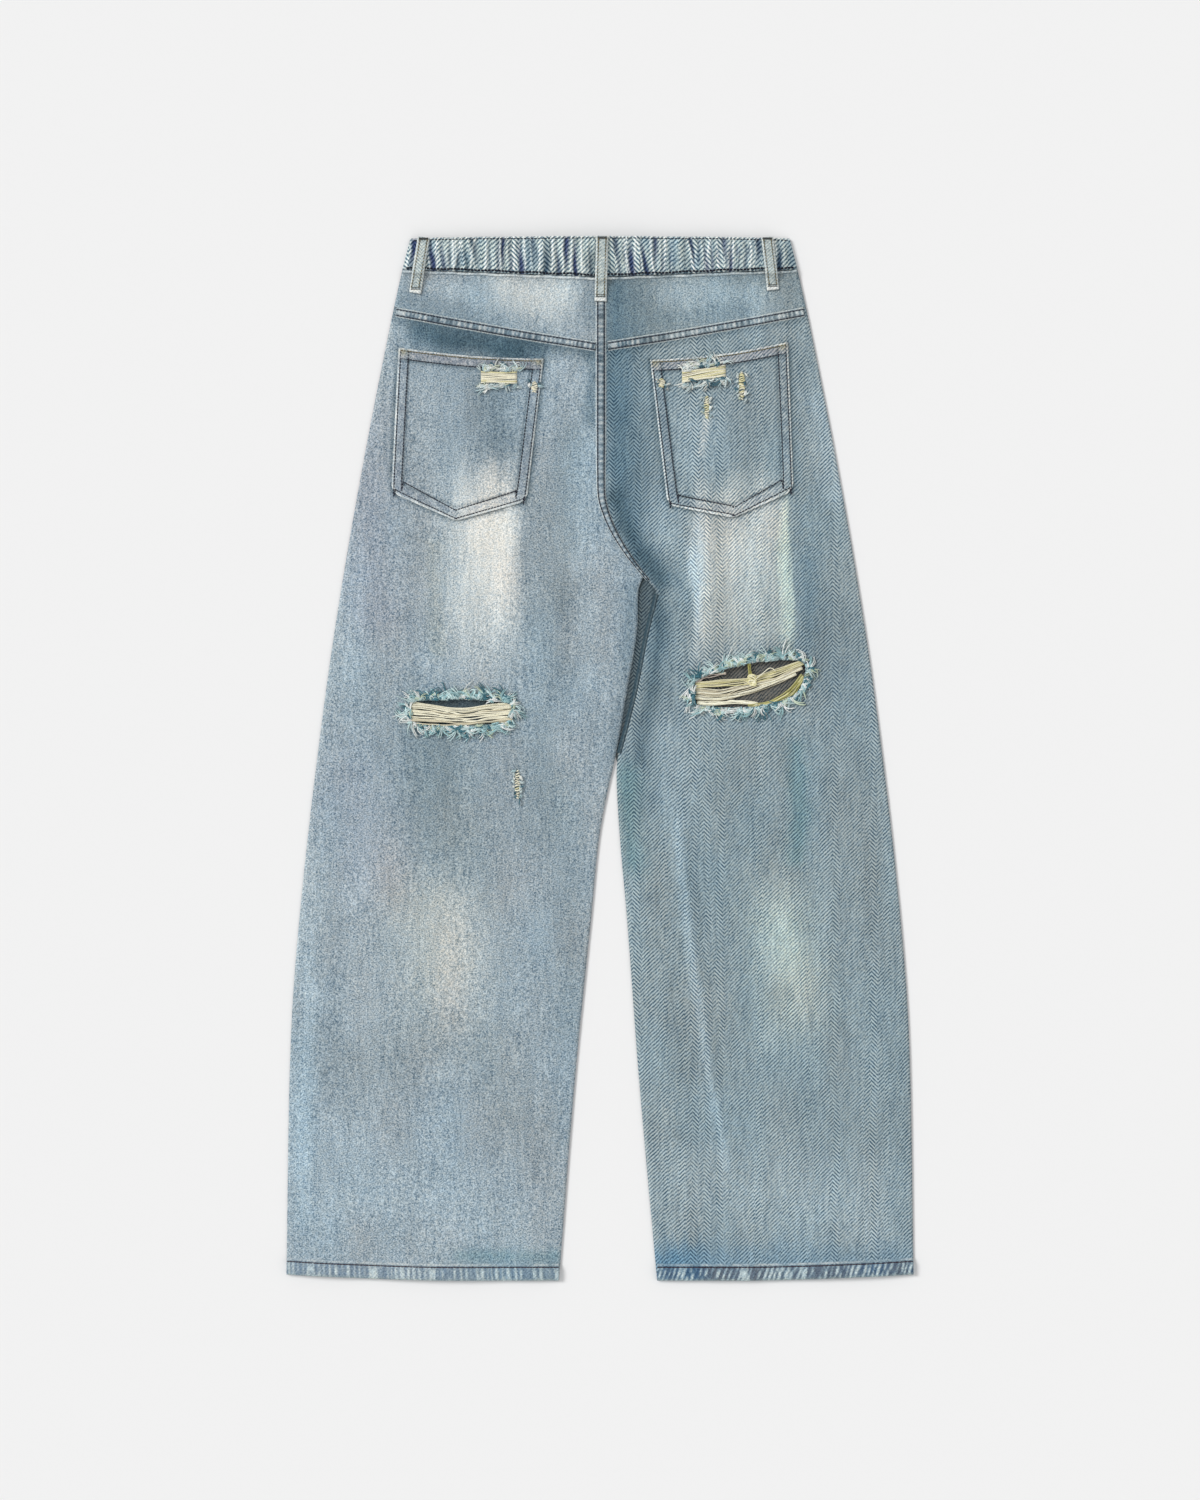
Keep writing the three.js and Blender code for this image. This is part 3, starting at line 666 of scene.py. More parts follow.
class Tree:
    """Short-hand for building a material's nodes."""

    def __init__(self, name):
        self.material = bpy.data.materials.new(name)
        self.material.use_nodes = True
        self.nodes = self.material.node_tree.nodes
        self.links = self.material.node_tree.links
        self.shader = self.nodes["Principled BSDF"]

    def put(self, target, value):
        if isinstance(value, bpy.types.NodeSocket):
            self.links.new(value, target)
        else:
            target.default_value = value

    def add(self, kind, inputs=(), output=0, **settings):
        node = self.nodes.new("ShaderNode" + kind)
        for key, value in settings.items():
            setattr(node, key, value)
        for key, value in dict(inputs).items():
            self.put(node.inputs[key], value)
        return node.outputs[output]

    def math(self, operation, a, b=0.0, c=0.0):
        return self.add("Math", {0: a, 1: b, 2: c}, operation=operation)

    def scaled(self, x, y, z=1000.0):
        """Object coordinates in millimetres, stretched by x and y."""
        place = self.add("TexCoord", output=3)
        return self.add("Mapping", {0: place, 3: (1000.0 * x, 1000.0 * y, z)})

    def noise(self, vector, scale, detail=2.0, rough=0.5):
        return self.add("TexNoise", {"Vector": vector, "Scale": scale, "Detail": detail,
                                     "Roughness": rough}, noise_dimensions="3D")

    def ramp(self, value, low, high, a, b):
        """value from low to high turned into a to b, held beyond them."""
        return self.add("MapRange", {"Value": value, 1: low, 2: high, 3: a, 4: b})

    def tone(self, value, low, high, dark, light):
        """value from low to high turned into a colour from dark to light, held beyond them."""
        inputs = {"Vector": value, 7: (low,) * 3, 8: (high,) * 3, 9: dark, 10: light}
        return self.add("MapRange", inputs, output=1, data_type="FLOAT_VECTOR")

    def mix(self, factor, a, b, kind="MIX", **settings):
        return self.add("Mix", {"Factor": factor, 6: a, 7: b}, output=2, data_type="RGBA",
                        blend_type=kind, **settings)

    def bump(self, strength, depth, height):
        return self.add("Bump", {"Strength": strength, "Distance": depth, "Height": height})

    def finish(self, inputs):
        """Sets the shader's inputs and gives the material."""
        for name, value in inputs.items():
            self.put(self.shader.inputs[name], value)
        return self.material


def denim(name, twill, grain, contrast=1.0, pitch=3.9, fine=0.7):
    """Washed denim: the place's own wash, broken up by twill lines, grain and slub streaks."""
    t = Tree(name)
    flat = t.scaled(1.0, 1.0)
    colour = t.add("Attribute", attribute_name="wash")
    x = t.add("SeparateXYZ", {0: flat})
    y = x.node.outputs[1]
    drift = t.math("MULTIPLY", t.noise(t.scaled(0.02, 0.02), 1.0, 1.0), 9.0)
    column = t.math("FLOOR", t.math("DIVIDE", t.math("ADD", x, drift), 6.4))
    chance = t.add("TexWhiteNoise", {"W": column}, noise_dimensions="1D")
    reverse = t.math("MULTIPLY_ADD", t.math("GREATER_THAN", chance, 0.8), -2.0, 1.0)
    diagonal = t.math("SUBTRACT", t.math("MULTIPLY", x, reverse), y)
    phase = t.math("MULTIPLY", t.math("MULTIPLY_ADD", chance, pitch, diagonal), 2 * math.pi / pitch)
    lines = t.ramp(t.math("SINE", phase), -0.8, 0.8, 0.0, 1.0)
    patchy = t.ramp(t.noise(t.scaled(0.1, 0.03), 1.0, 2.0), 0.35, 0.65, 0.6, 1.0)
    strength = t.math("MULTIPLY", patchy, t.ramp(chance, 0.0, 1.0, 0.55, 1.0))
    woven = t.math("MULTIPLY", t.math("SUBTRACT", lines, 0.5), t.math("MULTIPLY", strength, twill))
    speck = t.ramp(t.noise(flat, fine, 3.0, 0.8), 0.36, 0.64, -0.5, 0.5)
    slub = t.ramp(t.noise(t.scaled(0.36, 0.04), 1.0, 2.0, 0.6), 0.3, 0.7, -0.12, 0.12)
    total = t.math("ADD", t.math("MULTIPLY_ADD", speck, grain, woven), slub)
    calm = t.ramp(colour, 0.4, 0.75, contrast, 0.62 * contrast)  # worn places show less of it
    level = t.math("MULTIPLY_ADD", total, calm, 0.5)
    light = t.tone(level, 0.0, 1.0, (0.14, 0.26, 0.36), (1.86, 1.74, 1.64))
    tinted = t.mix(t.ramp(t.noise(flat, 0.3, 2.0, 0.7), 0.36, 0.64, 0.0, 1.0),
                   (1.035, 1.0, 0.965, 1), (0.965, 1.0, 1.035, 1))
    base = t.mix(1.0, colour, light, "MULTIPLY")
    return t.finish({
        "Base Color": t.mix(1.0, base, tinted, "MULTIPLY", clamp_result=True),
        "Roughness": t.ramp(level, 0.0, 1.0, 0.98, 0.86),
        "Specular IOR Level": 0.12,
        "Sheen Weight": 0.06,
        "Sheen Roughness": 0.6,
        "Normal": t.bump(0.4, 0.0006, level),
    })


def yarn(name, strength=0.25):
    """Thread or loose yarn: the wash colour with fine fibre shading."""
    t = Tree(name)
    colour = t.add("Attribute", attribute_name="wash")
    fibre = t.noise(t.scaled(1.0, 1.0), 1.4, 2.0, 0.6)
    light = t.tone(fibre, 0.3, 0.7, (1 - strength,) * 3, (1 + strength * 0.5,) * 3)
    return t.finish({
        "Base Color": t.mix(1.0, colour, light, "MULTIPLY", clamp_result=True),
        "Roughness": t.ramp(fibre, 0.3, 0.7, 0.95, 0.85),
        "Specular IOR Level": 0.15,
        "Normal": t.bump(0.3, 0.0003, fibre),
    })


def aged_brass(name):
    t = Tree(name)
    worn = t.noise(t.scaled(1.0, 1.0), 0.4, 4.0, 0.6)
    return t.finish({
        "Base Color": t.mix(t.ramp(worn, 0.35, 0.65, 0.0, 1.0),
                            (0.16, 0.11, 0.06, 1), (0.52, 0.40, 0.22, 1)),
        "Metallic": 1.0,
        "Roughness": t.ramp(worn, 0.3, 0.7, 0.62, 0.32),
    })


def pale_floor(name):
    return Tree(name).finish({
        "Base Color": (0.86, 0.86, 0.86, 1), "Roughness": 0.9, "Specular IOR Level": 0.1,
    })


DENIM = {"left": denim("denim_left", 0.12, 1.0, 0.88), "right": denim("denim_right", 1.05, 0.55, 1.0)}
YOKE_DENIM = denim("denim_yokes", 0.2, 0.95, 0.85, fine=0.76)
SEAM_DENIM = denim("denim_seams", 0.3, 0.8, 0.7)
BAND_DENIM = denim("denim_waistband", 1.4, 0.7, 1.15, 4.5)
LOOP_DENIM = denim("denim_loops", 0.8, 0.7, 0.7, 3.4)
THREAD = yarn("sewing_thread")
FRAYED = yarn("frayed_yarn", strength=0.3)


# ---- Camera, light and floor --------------------------------------------------------

def make_camera():
    """Straight down over the garment. The view is 1.5 m tall at the cloth's own height."""
    data = bpy.data.cameras.new("camera")
    data.type = "PERSP"
    data.lens = 85
    data.sensor_width = 36
    camera = bpy.data.objects.new("camera", data)
    view_height, cloth_height = 1.5, 0.006
    camera.location = (0.0, 0.009, cloth_height + view_height * data.lens / data.sensor_width)
    bpy.context.collection.objects.link(camera)
    bpy.context.scene.camera = camera


def soft_sun(name, direction, spread, strength):
    """A broad even light that comes from one direction."""
    data = bpy.data.lights.new(name, "SUN")
    data.energy = strength
    data.angle = math.radians(spread)
    light = bpy.data.objects.new(name, data)
    light.location = direction
    light.rotation_euler = (-Vector(direction)).to_track_quat("-Z", "Y").to_euler()
    bpy.context.collection.objects.link(light)


def make_studio():
    world = bpy.data.worlds.new("studio")
    world.use_nodes = True
    background = world.node_tree.nodes["Background"]
    background.inputs["Color"].default_value = (1.0, 1.0, 1.0, 1)
    background.inputs["Strength"].default_value = 0.54
    bpy.context.scene.world = world
    soft_sun("key", (-1.0, 0.55, 1.0), 24, 1.93)
    soft_sun("fill", (0.9, -0.8, 1.3), 60, 0.36)
    bpy.context.scene.view_settings.view_transform = "Standard"
    span = 40.0
    corners = [(-span, -span, 0), (span, -span, 0), (span, span, 0), (-span, span, 0)]
    mesh = bpy.data.meshes.new("floor")
    mesh.from_pydata(corners, [], [(0, 1, 2, 3)])
    mesh.materials.append(pale_floor("pale_floor"))
    floor = bpy.data.objects.new("floor", mesh)
    bpy.context.collection.objects.link(floor)


# ---- Panels -------------------------------------------------------------------------

def grid_between(left, right, top, bottom, columns, rows):
    """A grid of points between two side lines and two cross lines, rows running down."""
    u = np.linspace(0, 1, columns)[None, :]
    v = np.linspace(0, 1, rows)[:, None]

    def on_line(line):
        y = line(0.0 * u)
        for _ in range(4):
            y = line(mix(left(y), right(y), u))
        return y

    y = mix(on_line(top), on_line(bottom), v)
    return mix(left(y), right(y), u), y


def rolled(distance, reach, drop):
    """How far an edge rolls down at a distance from it."""
    share = np.clip(distance / reach, 0, 1)
    return drop * (1 - np.sqrt(np.clip(1 - (1 - share) ** 2, 0, 1)))


def rounded(x, y, z, left, right, reach=2.6, drop=0.9):
    """Rolls the side edges of a grid of points over."""
    return z - rolled(np.minimum(x - left(y), right(y) - x), reach, drop)


def rip_outline(side):
    """The ragged edge of a rip as a closed line."""
    line = spline(RIPS[side], 150, closed=True)[:-1]
    middle = line.mean(0)
    out = (line - middle) / np.linalg.norm(line - middle, axis=1)[:, None]
    return line + out * (RIP_WOBBLE * smooth_noise(line[:, 0], line[:, 1], 4.5, 51))[:, None]


def inside_outline(x, y, outline):
    inside = np.zeros(x.shape, bool)
    previous = outline[-1]
    for point in outline:
        crosses = (point[1] > y) != (previous[1] > y)
        slope = (previous[0] - point[0]) / (previous[1] - point[1] + 1e-12)
        inside ^= crosses & (x < slope * (y - point[1]) + point[0])
        previous = point
    return inside


def cut_rip(x, y, side):
    """Which cells stay round a rip, with the points at its edge moved onto its outline."""
    outline = rip_outline(side)
    cx = (x[:-1, :-1] + x[1:, :-1] + x[:-1, 1:] + x[1:, 1:]) / 4
    cy = (y[:-1, :-1] + y[1:, :-1] + y[:-1, 1:] + y[1:, 1:]) / 4
    keep = ~inside_outline(cx, cy, outline)
    padded = np.pad(keep, 1, constant_values=True)
    corner = np.stack([padded[:-1, :-1], padded[1:, :-1], padded[:-1, 1:], padded[1:, 1:]])
    border = corner.any(0) & ~corner.all(0)
    dense = spline(outline, 900, closed=True)
    at = np.column_stack([x[border], y[border]])
    nearest = ((at[:, None] - dense[None]) ** 2).sum(-1).argmin(1)
    x[border], y[border] = dense[nearest].T
    return keep


def limits(side, left_inner, right_inner):
    """The left and right edge of a piece that runs from a side seam to the middle."""
    if side == "left":
        return left_side, lambda y: left_inner(y) - GAP / 2
    return lambda y: right_inner(y) + GAP / 2, side_edge


def below(seam):
    return lambda x: seam(x) - GAP / 2


def above(seam):
    return lambda x: seam(x) + GAP / 2


def back_panel(side):
    left, right = limits(side, back_left_inner, back_right_inner)
    x, y = grid_between(left, right, below(yoke_seam), lambda x: hem_edge(x) + 2, *BACK_GRID)
    keep = cut_rip(x, y, side)
    z = rounded(x, y, back_surface(x, y), left, right)
    tint = wash(x, y, side)
    # Painted shadow on the panel along the outside of the pocket's sides and bottom.
    painted_shade = 0.75 * bell(np.maximum(distance_to_line(x, y, pocket_edge(side)) - 1.2, 0), 2.4)
    painted_shade = painted_shade * (0.7 + 0.3 * smooth_noise(x, y, 9, 94))
    tint = blend(tint, WASH["darkest_shade"], painted_shade)
    # Painted shade on the panel just below the raised yoke seam.
    under = yoke_seam(x) - 9.8 - y
    tint = blend(tint, WASH["darkest_shade"], 0.45 * bell(np.maximum(under, 0), 5))
    edge = bell(np.minimum(x - left(y), right(y) - x) - 1.0, 1.4)
    tint = blend(tint, WASH["pale"], 0.35 * edge * (0.6 + 0.4 * smooth_noise(x, y, 7, 95)))
    panel = cloth(f"back_panel_{side}_cloth", x, y, z, BACK_SHELL, tint, DENIM[side], keep=keep)
    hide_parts(f"back_panel_{side}")
    return panel


def yoke(side):
    left, right = limits(side, seat_seam, seat_seam)
    x, y = grid_between(left, right, below(band_seam), above(yoke_seam), *YOKE_GRID)
    z = rounded(x, y, back_surface(x, y), left, right)
    tint = wash(x, y, side)
    # Painted shade on the yoke just under the waistband's edge.
    tint = tint * (1 - 0.16 * bell(band_seam(x) - y, 7))[..., None]
    piece = cloth(f"back_yoke_{side}_cloth", x, y, z, BACK_SHELL, tint, YOKE_DENIM)
    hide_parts(f"back_yoke_{side}")
    return piece


def front_panel(side):
    left, right = limits(side, front_left_inner, front_right_inner)
    x, y = grid_between(left, right, below(band_seam), hem_edge, *FRONT_GRID)
    z = front_top(x, y)
    strip_rise = ease(14, 0, np.abs(x - back_right_inner(y))) * ease(0, 60, y) * ease(176, 150, y)
    z = z + (1.6 * strip_rise if side == "right" else 0)
    # Inside the legs: the reverse side's own colour, darkened as painted shade where it shows through
    # the rips.
    tint = plain(x, WASH[f"inside_{side}"])
    # The strip of the right leg seen between the legs, and the cloth under the crotch's tip: the
    # denim's colour darkened as painted shade, with a darker painted shadow along the left leg's edge.
    beside_leg = (x < back_right_inner(y) + 2) & (y < SEAT_TIP[1] + 6)
    under_tip = (np.abs(x - seat_seam(y)) < 12) & (y > 140)
    shaded = WASH["inner_leg_in_shade"] * (1 - 0.5 * bell(x - back_left_inner(y), 4))[..., None]
    tint = np.where((beside_leg | under_tip)[..., None], shaded, tint)
    tint = np.where((y < hem_edge(x) + 12)[..., None], wash(x, y, side), tint)
    wall = z - waist_lift(x, y)
    piece = cloth(f"front_panel_{side}_cloth", x, y, z, wall, tint, DENIM[side])
    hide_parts(f"front_panel_{side}")
    return piece


# ---- Seams --------------------------------------------------------------------------

STITCH_PATHS, STITCH_TINTS = [], []
STITCH_RADIUS = 0.52
STITCH_SPREAD = 0.25  # how far a stitch's brightness strays
STITCH_DARK = linear((52, 54, 66))
STITCH_BROWN = linear((66, 50, 58))
STITCH_OLIVE = linear((120, 112, 84))


def stitches(path, tint, lift=0.25, surface=back_surface, pitch=3.1, length=2.3):
    """A row of stitches lying on the cloth along a path."""
    total = path_length(path)
    fine = spline(path, max(int(total / 0.4), 12))
    count = int(total / pitch)
    for k in range(count):
        middle = (k + 0.5) / count
        ends = np.clip(np.array([middle - length / total / 2, middle + length / total / 2]), 0, 1)
        at = np.linspace(*ends, 4) * (len(fine) - 1)
        xy = np.column_stack([np.interp(at, np.arange(len(fine)), fine[:, c]) for c in (0, 1)])
        sunk = np.array([-0.25, 0.2, 0.2, -0.25])
        z = surface(xy[:, 0], xy[:, 1]) + lift + sunk
        STITCH_PATHS.append(np.column_stack([xy, z]))
        STITCH_TINTS.append(tint * (1 + STITCH_SPREAD * RNG.uniform(-1, 1)))


def roped(pitch, seed, lean=0.0):
    """Puckers along a seam, from 0 to 1."""
    def at(s, u):
        warped = s + 2.6 * smooth_noise(s, u * 0 + seed, 11, seed) + lean * u
        wave = 0.5 + 0.5 * np.sin(2 * np.pi * warped / pitch)
        loose = 0.5 + 0.7 * smooth_noise(s + 0.5 * lean * u, u * 1.4 + seed, 2.7, seed + 9)
        return np.clip(mix(wave, loose, 0.25 + 0.25 * smooth_noise(s, u * 0, 16, seed + 5)), 0, 1)
    return at


def felled(name, path, half, seed, height=1.0, light=0.75, dark=0.85, pitch=4.9):
    """A flat-felled seam: a raised band with puckers, worn pale on its folds. dark is the strength of
    the painted shade in the troughs between the puckers.
    """
    pucker = roped(pitch, seed)

    def profile(s, u):
        body = height * np.clip(1 - np.abs(u) ** 6, 0, 1)
        return body + 0.5 * pucker(s, u) * (1 - u * u) - 0.35 * bell(np.abs(u) - 0.62, 0.12)

    def colour(s, u, x, y):
        base = wash_any(x, y)
        rise = np.clip(pucker(s, u) + 0.4 * smooth_noise(s, u, 4, seed + 3), 0, 1)
        base = blend(base, WASH["pale"], light * ease(0.4, 1, rise) * bell(u, 0.8))
        # Painted shade in the troughs between the puckers.
        painted_shade = dark * ease(0.55, 0, rise) * bell(u, 0.75)
        painted_shade = painted_shade * (0.7 + 0.3 * smooth_noise(s, u, 17, seed + 1))
        base = blend(base, WASH["seam_trough_shade"], np.clip(painted_shade, 0, 0.92))
        rows = 0.8 * bell(np.abs(u) - 0.6, 0.19) * (0.7 + 0.3 * np.sin(2 * np.pi * s / 3.1))
        base = blend(base, WASH["seam_row"], rows)
        return blend(base, WASH["seam_edge"], 0.8 * bell(np.abs(u) - 0.93, 0.1))

    return strip(name, path, half, profile, colour, SEAM_DENIM, across=17, step=1.1)


def yoke_seams():
    bands = []
    for side, ends in (("left", (-204, -4.5)), ("right", (8, 204))):
        xs = np.linspace(*ends, 9)
        limit = side_edge(yoke_seam(xs)) - 1.5
        xs = np.clip(xs, -limit, limit)
        ys = yoke_seam(xs)
        bands.append(felled(f"yoke_seam_{side}", np.column_stack([xs, ys - 4.6]), 5.0, 61))
        for drop in (1.9, 8.0):
            stitches(np.column_stack([xs, ys - drop]), STITCH_DARK, 1.15)
    return bands


def seat_seam_band():
    heights = np.array([457, 430, 400, 370, 340, 310, 285, 262, 244, 228, 214, 202, 193, 186, 179])
    half = np.interp(heights, [179, 202, 228, 262], [1.8, 3.4, 4.6, 5.4])
    line = np.column_stack([seat_seam(heights) - 0.6 * half + 2.2, heights])
    length = path_length(line)

    def half_at(s):
        return np.interp(s / length, np.linspace(0, 1, len(half)), half)

    band = felled("seat_seam", line, half_at, 67, height=1.1, light=0.55, dark=0.7, pitch=5.6)
    for share in (-0.6, 0.6):
        stitches(line + np.column_stack([share * half, 0 * half]), STITCH_DARK, 1.25)
    return band


def inseam_ridge():
    heights = np.linspace(165, 6, 12)
    line = np.column_stack([right_inner_line(heights) + 0.6, heights])
    rope = roped(7.5, 71, 3.0)

    def profile(s, u):
        return 1.2 * (1 - u * u) + 0.3 * rope(s, u)

    def colour(s, u, x, y):
        # The ridge lies in the left leg's shadow: painted shade, with a painted highlight along its
        # crest.
        shine = 0.6 * (0.4 + 0.6 * rope(s, u)) * bell(u - 0.3, 0.3)
        return blend(WASH["darkest_shade"] * 0.72, WASH["inseam_shine"], shine)

    return strip("inseam_ridge", line, 2.3, profile, colour, SEAM_DENIM, across=7)


# ---- Waistband ----------------------------------------------------------------------

def band_surface(x, y):
    trough, ridge = gathers(x, y)
    inside = ease(0, 10, side_edge(y) - np.abs(x))
    swell = 0.8 * np.sin(np.pi * np.clip((waist_top(x) - y) / 40, 0, 1))
    lift = 2.0 + swell - 2.4 * trough + 1.1 * ridge + 0.5 * smooth_noise(x, y * 0.4, 6, 81)
    return back_under(x, y) + BAND_WALL + lift * inside


def band_colour(x, y):
    trough, ridge = gathers(x, y)
    base = plain(x, WASH["band"])
    cloud = cloudy(x, y, 19, 83)
    base = blend(base, WASH["band_pale"], 0.5 * cloud)
    base = blend(base, WASH["band_blue"], 0.5 * ease(0.1, 0.8, smooth_noise(x, y * 0.6, 12, 86)))
    grain = 0.16 * smooth_noise(x, y * 0.25, 4, 84)
    base = base * (1 + grain + 0.12 * smooth_noise(x, y * 0.7, 9, 87))[..., None]
    base = base * (1 - 0.16 * ease(0.2, -0.9, smooth_noise(x, y * 0.35, 6.5, 88)))[..., None]
    # Painted shade in the troughs of the gathers, teal to blue along the band.
    blue = cloudy(x, 0 * y, 27, 85)
    painted_shade = blend(WASH["trough_shade_teal"], WASH["trough_shade_blue"], blue)
    base = blend(base, painted_shade, np.clip(1.25 * trough, 0, 0.97))
    base = blend(base, WASH["band_ridge"], 0.95 * ridge * (1 - trough))
    foot = bell(y - band_seam(x) - 1.0, 2.2) * (0.6 + 0.4 * np.sin(x / 0.8))
    base = blend(base, WASH["band_foot"], 0.6 * foot)
    edge = bell(waist_top(x) - y - 0.6, 1.2)
    return blend(base, WASH["pale"], 0.5 * edge)


def back_band():
    x, y = grid_between(left_side, side_edge, waist_top, above(band_seam), *BAND_GRID)
    z = band_surface(x, y) - rolled(waist_top(x) - y, 2.0, 1.3) - rolled(y - band_seam(x), 1.6, 0.9)
    z = rounded(x, y, z, left_side, side_edge, 4.0, 1.6)
    piece = cloth("waistband_back_cloth", x, y, z, BAND_SHELL, band_colour(x, y), BAND_DENIM)
    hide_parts("waistband_back")
    xs = np.linspace(-186, 187, 60)
    stitches(np.column_stack([xs, waist_top(xs) - 2.2]), STITCH_DARK, 0.1, band_surface, 3.4, 2.2)
    xs = np.linspace(-194, 194, 60)
    for rise in (1.5, 2.3):
        stitches(np.column_stack([xs, band_seam(xs) + rise + 0.4 * np.sin(xs / 6)]), STITCH_DARK * 0.6,
                 0.3, band_surface, 3.4, 2.3)
    return piece


def band_ledge():
    """The seam allowance that shows as a pale wavy ridge just under the waistband."""
    xs = np.linspace(-197, 197, 40)
    line = np.column_stack([xs, band_seam(xs) - 1.5 + 0.35 * np.sin(xs / 5)])

    def colour(s, u, x, y):
        broken = 0.55 + 0.45 * smooth_noise(s, 0 * s, 9, 91)
        base = blend(wash_any(x, y), WASH["ledge"], 0.95 * broken * bell(u, 0.75))
        # Painted shade along both sides of the pale ridge.
        return blend(base, WASH["darkest_shade"], 0.7 * bell(np.abs(u) - 1, 0.25))

    return strip("waistband_ledge", line, 1.9, lambda s, u: 1.2 * (1 - u * u) + 0.1, colour,
                 SEAM_DENIM, across=7, wall=0.8)


def front_band(side):
    ramp = (lambda x: 2.5 * ease(58, 24, x)) if side == "right" else (lambda x: 0 * x)
    left, right = {
        "left": (left_side, lambda y: 0 * y + 18),
        "right": (lambda y: 0 * y - 20, side_edge),
    }[side]
    x, y = grid_between(left, right, lambda x: 0 * x + FRONT_BAND_TOP, above(band_seam),
                        *FRONT_BAND_GRID)
    z = waist_lift(x, y) + ramp(x) + FRONT_BAND_WALL
    piece = cloth(f"waistband_front_{side}_cloth", x, y, z, FRONT_BAND_WALL,
                  wash_any(x, y) * 0.85, BAND_DENIM)
    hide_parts(f"waistband_front_{side}")
    return piece


def fly_placket():
    x, y = np.meshgrid(np.linspace(-6, 32, 14), np.linspace(476, 340, 46))
    z = waist_lift(x, y) + 2 * CLOTH + GAP - 0.1
    piece = cloth("fly_placket_cloth", x, y, z, CLOTH - 0.2, wash_any(x, y), SEAM_DENIM)
    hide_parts("fly_placket")
    return piece


# ---- Pockets ------------------------------------------------------------------------

POCKET_LIFT = 1.6


def pocket_surface(x, y):
    return back_surface(x, y) + POCKET_LIFT


def pocket_frame(side):
    """Top line and bottom line of a pocket as functions of the share across."""
    top = np.array(POCKETS[side]["top"], float)
    bottom = np.array(POCKETS[side]["bottom"], float)

    def top_at(u):
        bow = 4 * u * (1 - u) * (top[1, 1] - (top[0, 1] + top[2, 1]) / 2)
        return mix(top[0, 0], top[2, 0], u), mix(top[0, 1], top[2, 1], u) + bow

    def bottom_at(u):
        x = np.interp(u, [0, 0.5, 1], bottom[:, 0])
        y = np.interp(u, [0, 0.5, 1], bottom[:, 1])
        near_end = np.clip(1 - np.minimum(u, 1 - u) / 0.06, 0, 1)
        near_tip = np.clip(1 - np.abs(u - 0.5) / 0.03, 0, 1)
        return x, y + 7 * near_end ** 2 + 1.2 * near_tip ** 2

    return top_at, bottom_at


def pocket_points(side, u, v):
    top_at, bottom_at = pocket_frame(side)
    tx, ty = top_at(u)
    bx, by = bottom_at(u)
    return mix(tx, bx, v), mix(ty, by, v)


def pocket_edge(side):
    """The pocket's sides and bottom with its rounded corners."""
    left_top, _, right_top = POCKETS[side]["top"]
    _, bottom_at = pocket_frame(side)
    x, y = bottom_at(np.array([0, 0.03, 0.06, 0.5, 0.94, 0.97, 1]))
    return [left_top, *zip(x.tolist(), y.tolist()), right_top]


def pocket_outline(side, inset):
    """A line round the pocket, inset from its edge: left side, bottom and right side."""
    (tlx, tly), _, (trx, try_) = POCKETS[side]["top"]
    (blx, bly), (mx, my), (brx, bry) = POCKETS[side]["bottom"]
    corner = 6
    return [
        (tlx + inset, tly - 3), (blx + inset, bly + corner + inset * 0.6),
        (blx + inset + 2, bly + 1.5 + inset * 0.9), (blx + inset + corner, bly - 1.5 + inset),
        (mx - 4, my + 1.6 + inset * 1.08), (mx, my + 0.4 + inset * 1.08),
        (mx + 4, my + 1.2 + inset * 1.08), (brx - inset - corner, bry - 1.6 + inset),
        (brx - inset - 2, bry + 1.5 + inset * 0.9), (brx - inset, bry + corner + inset * 0.6),
        (trx - inset, try_ - 3),
    ]


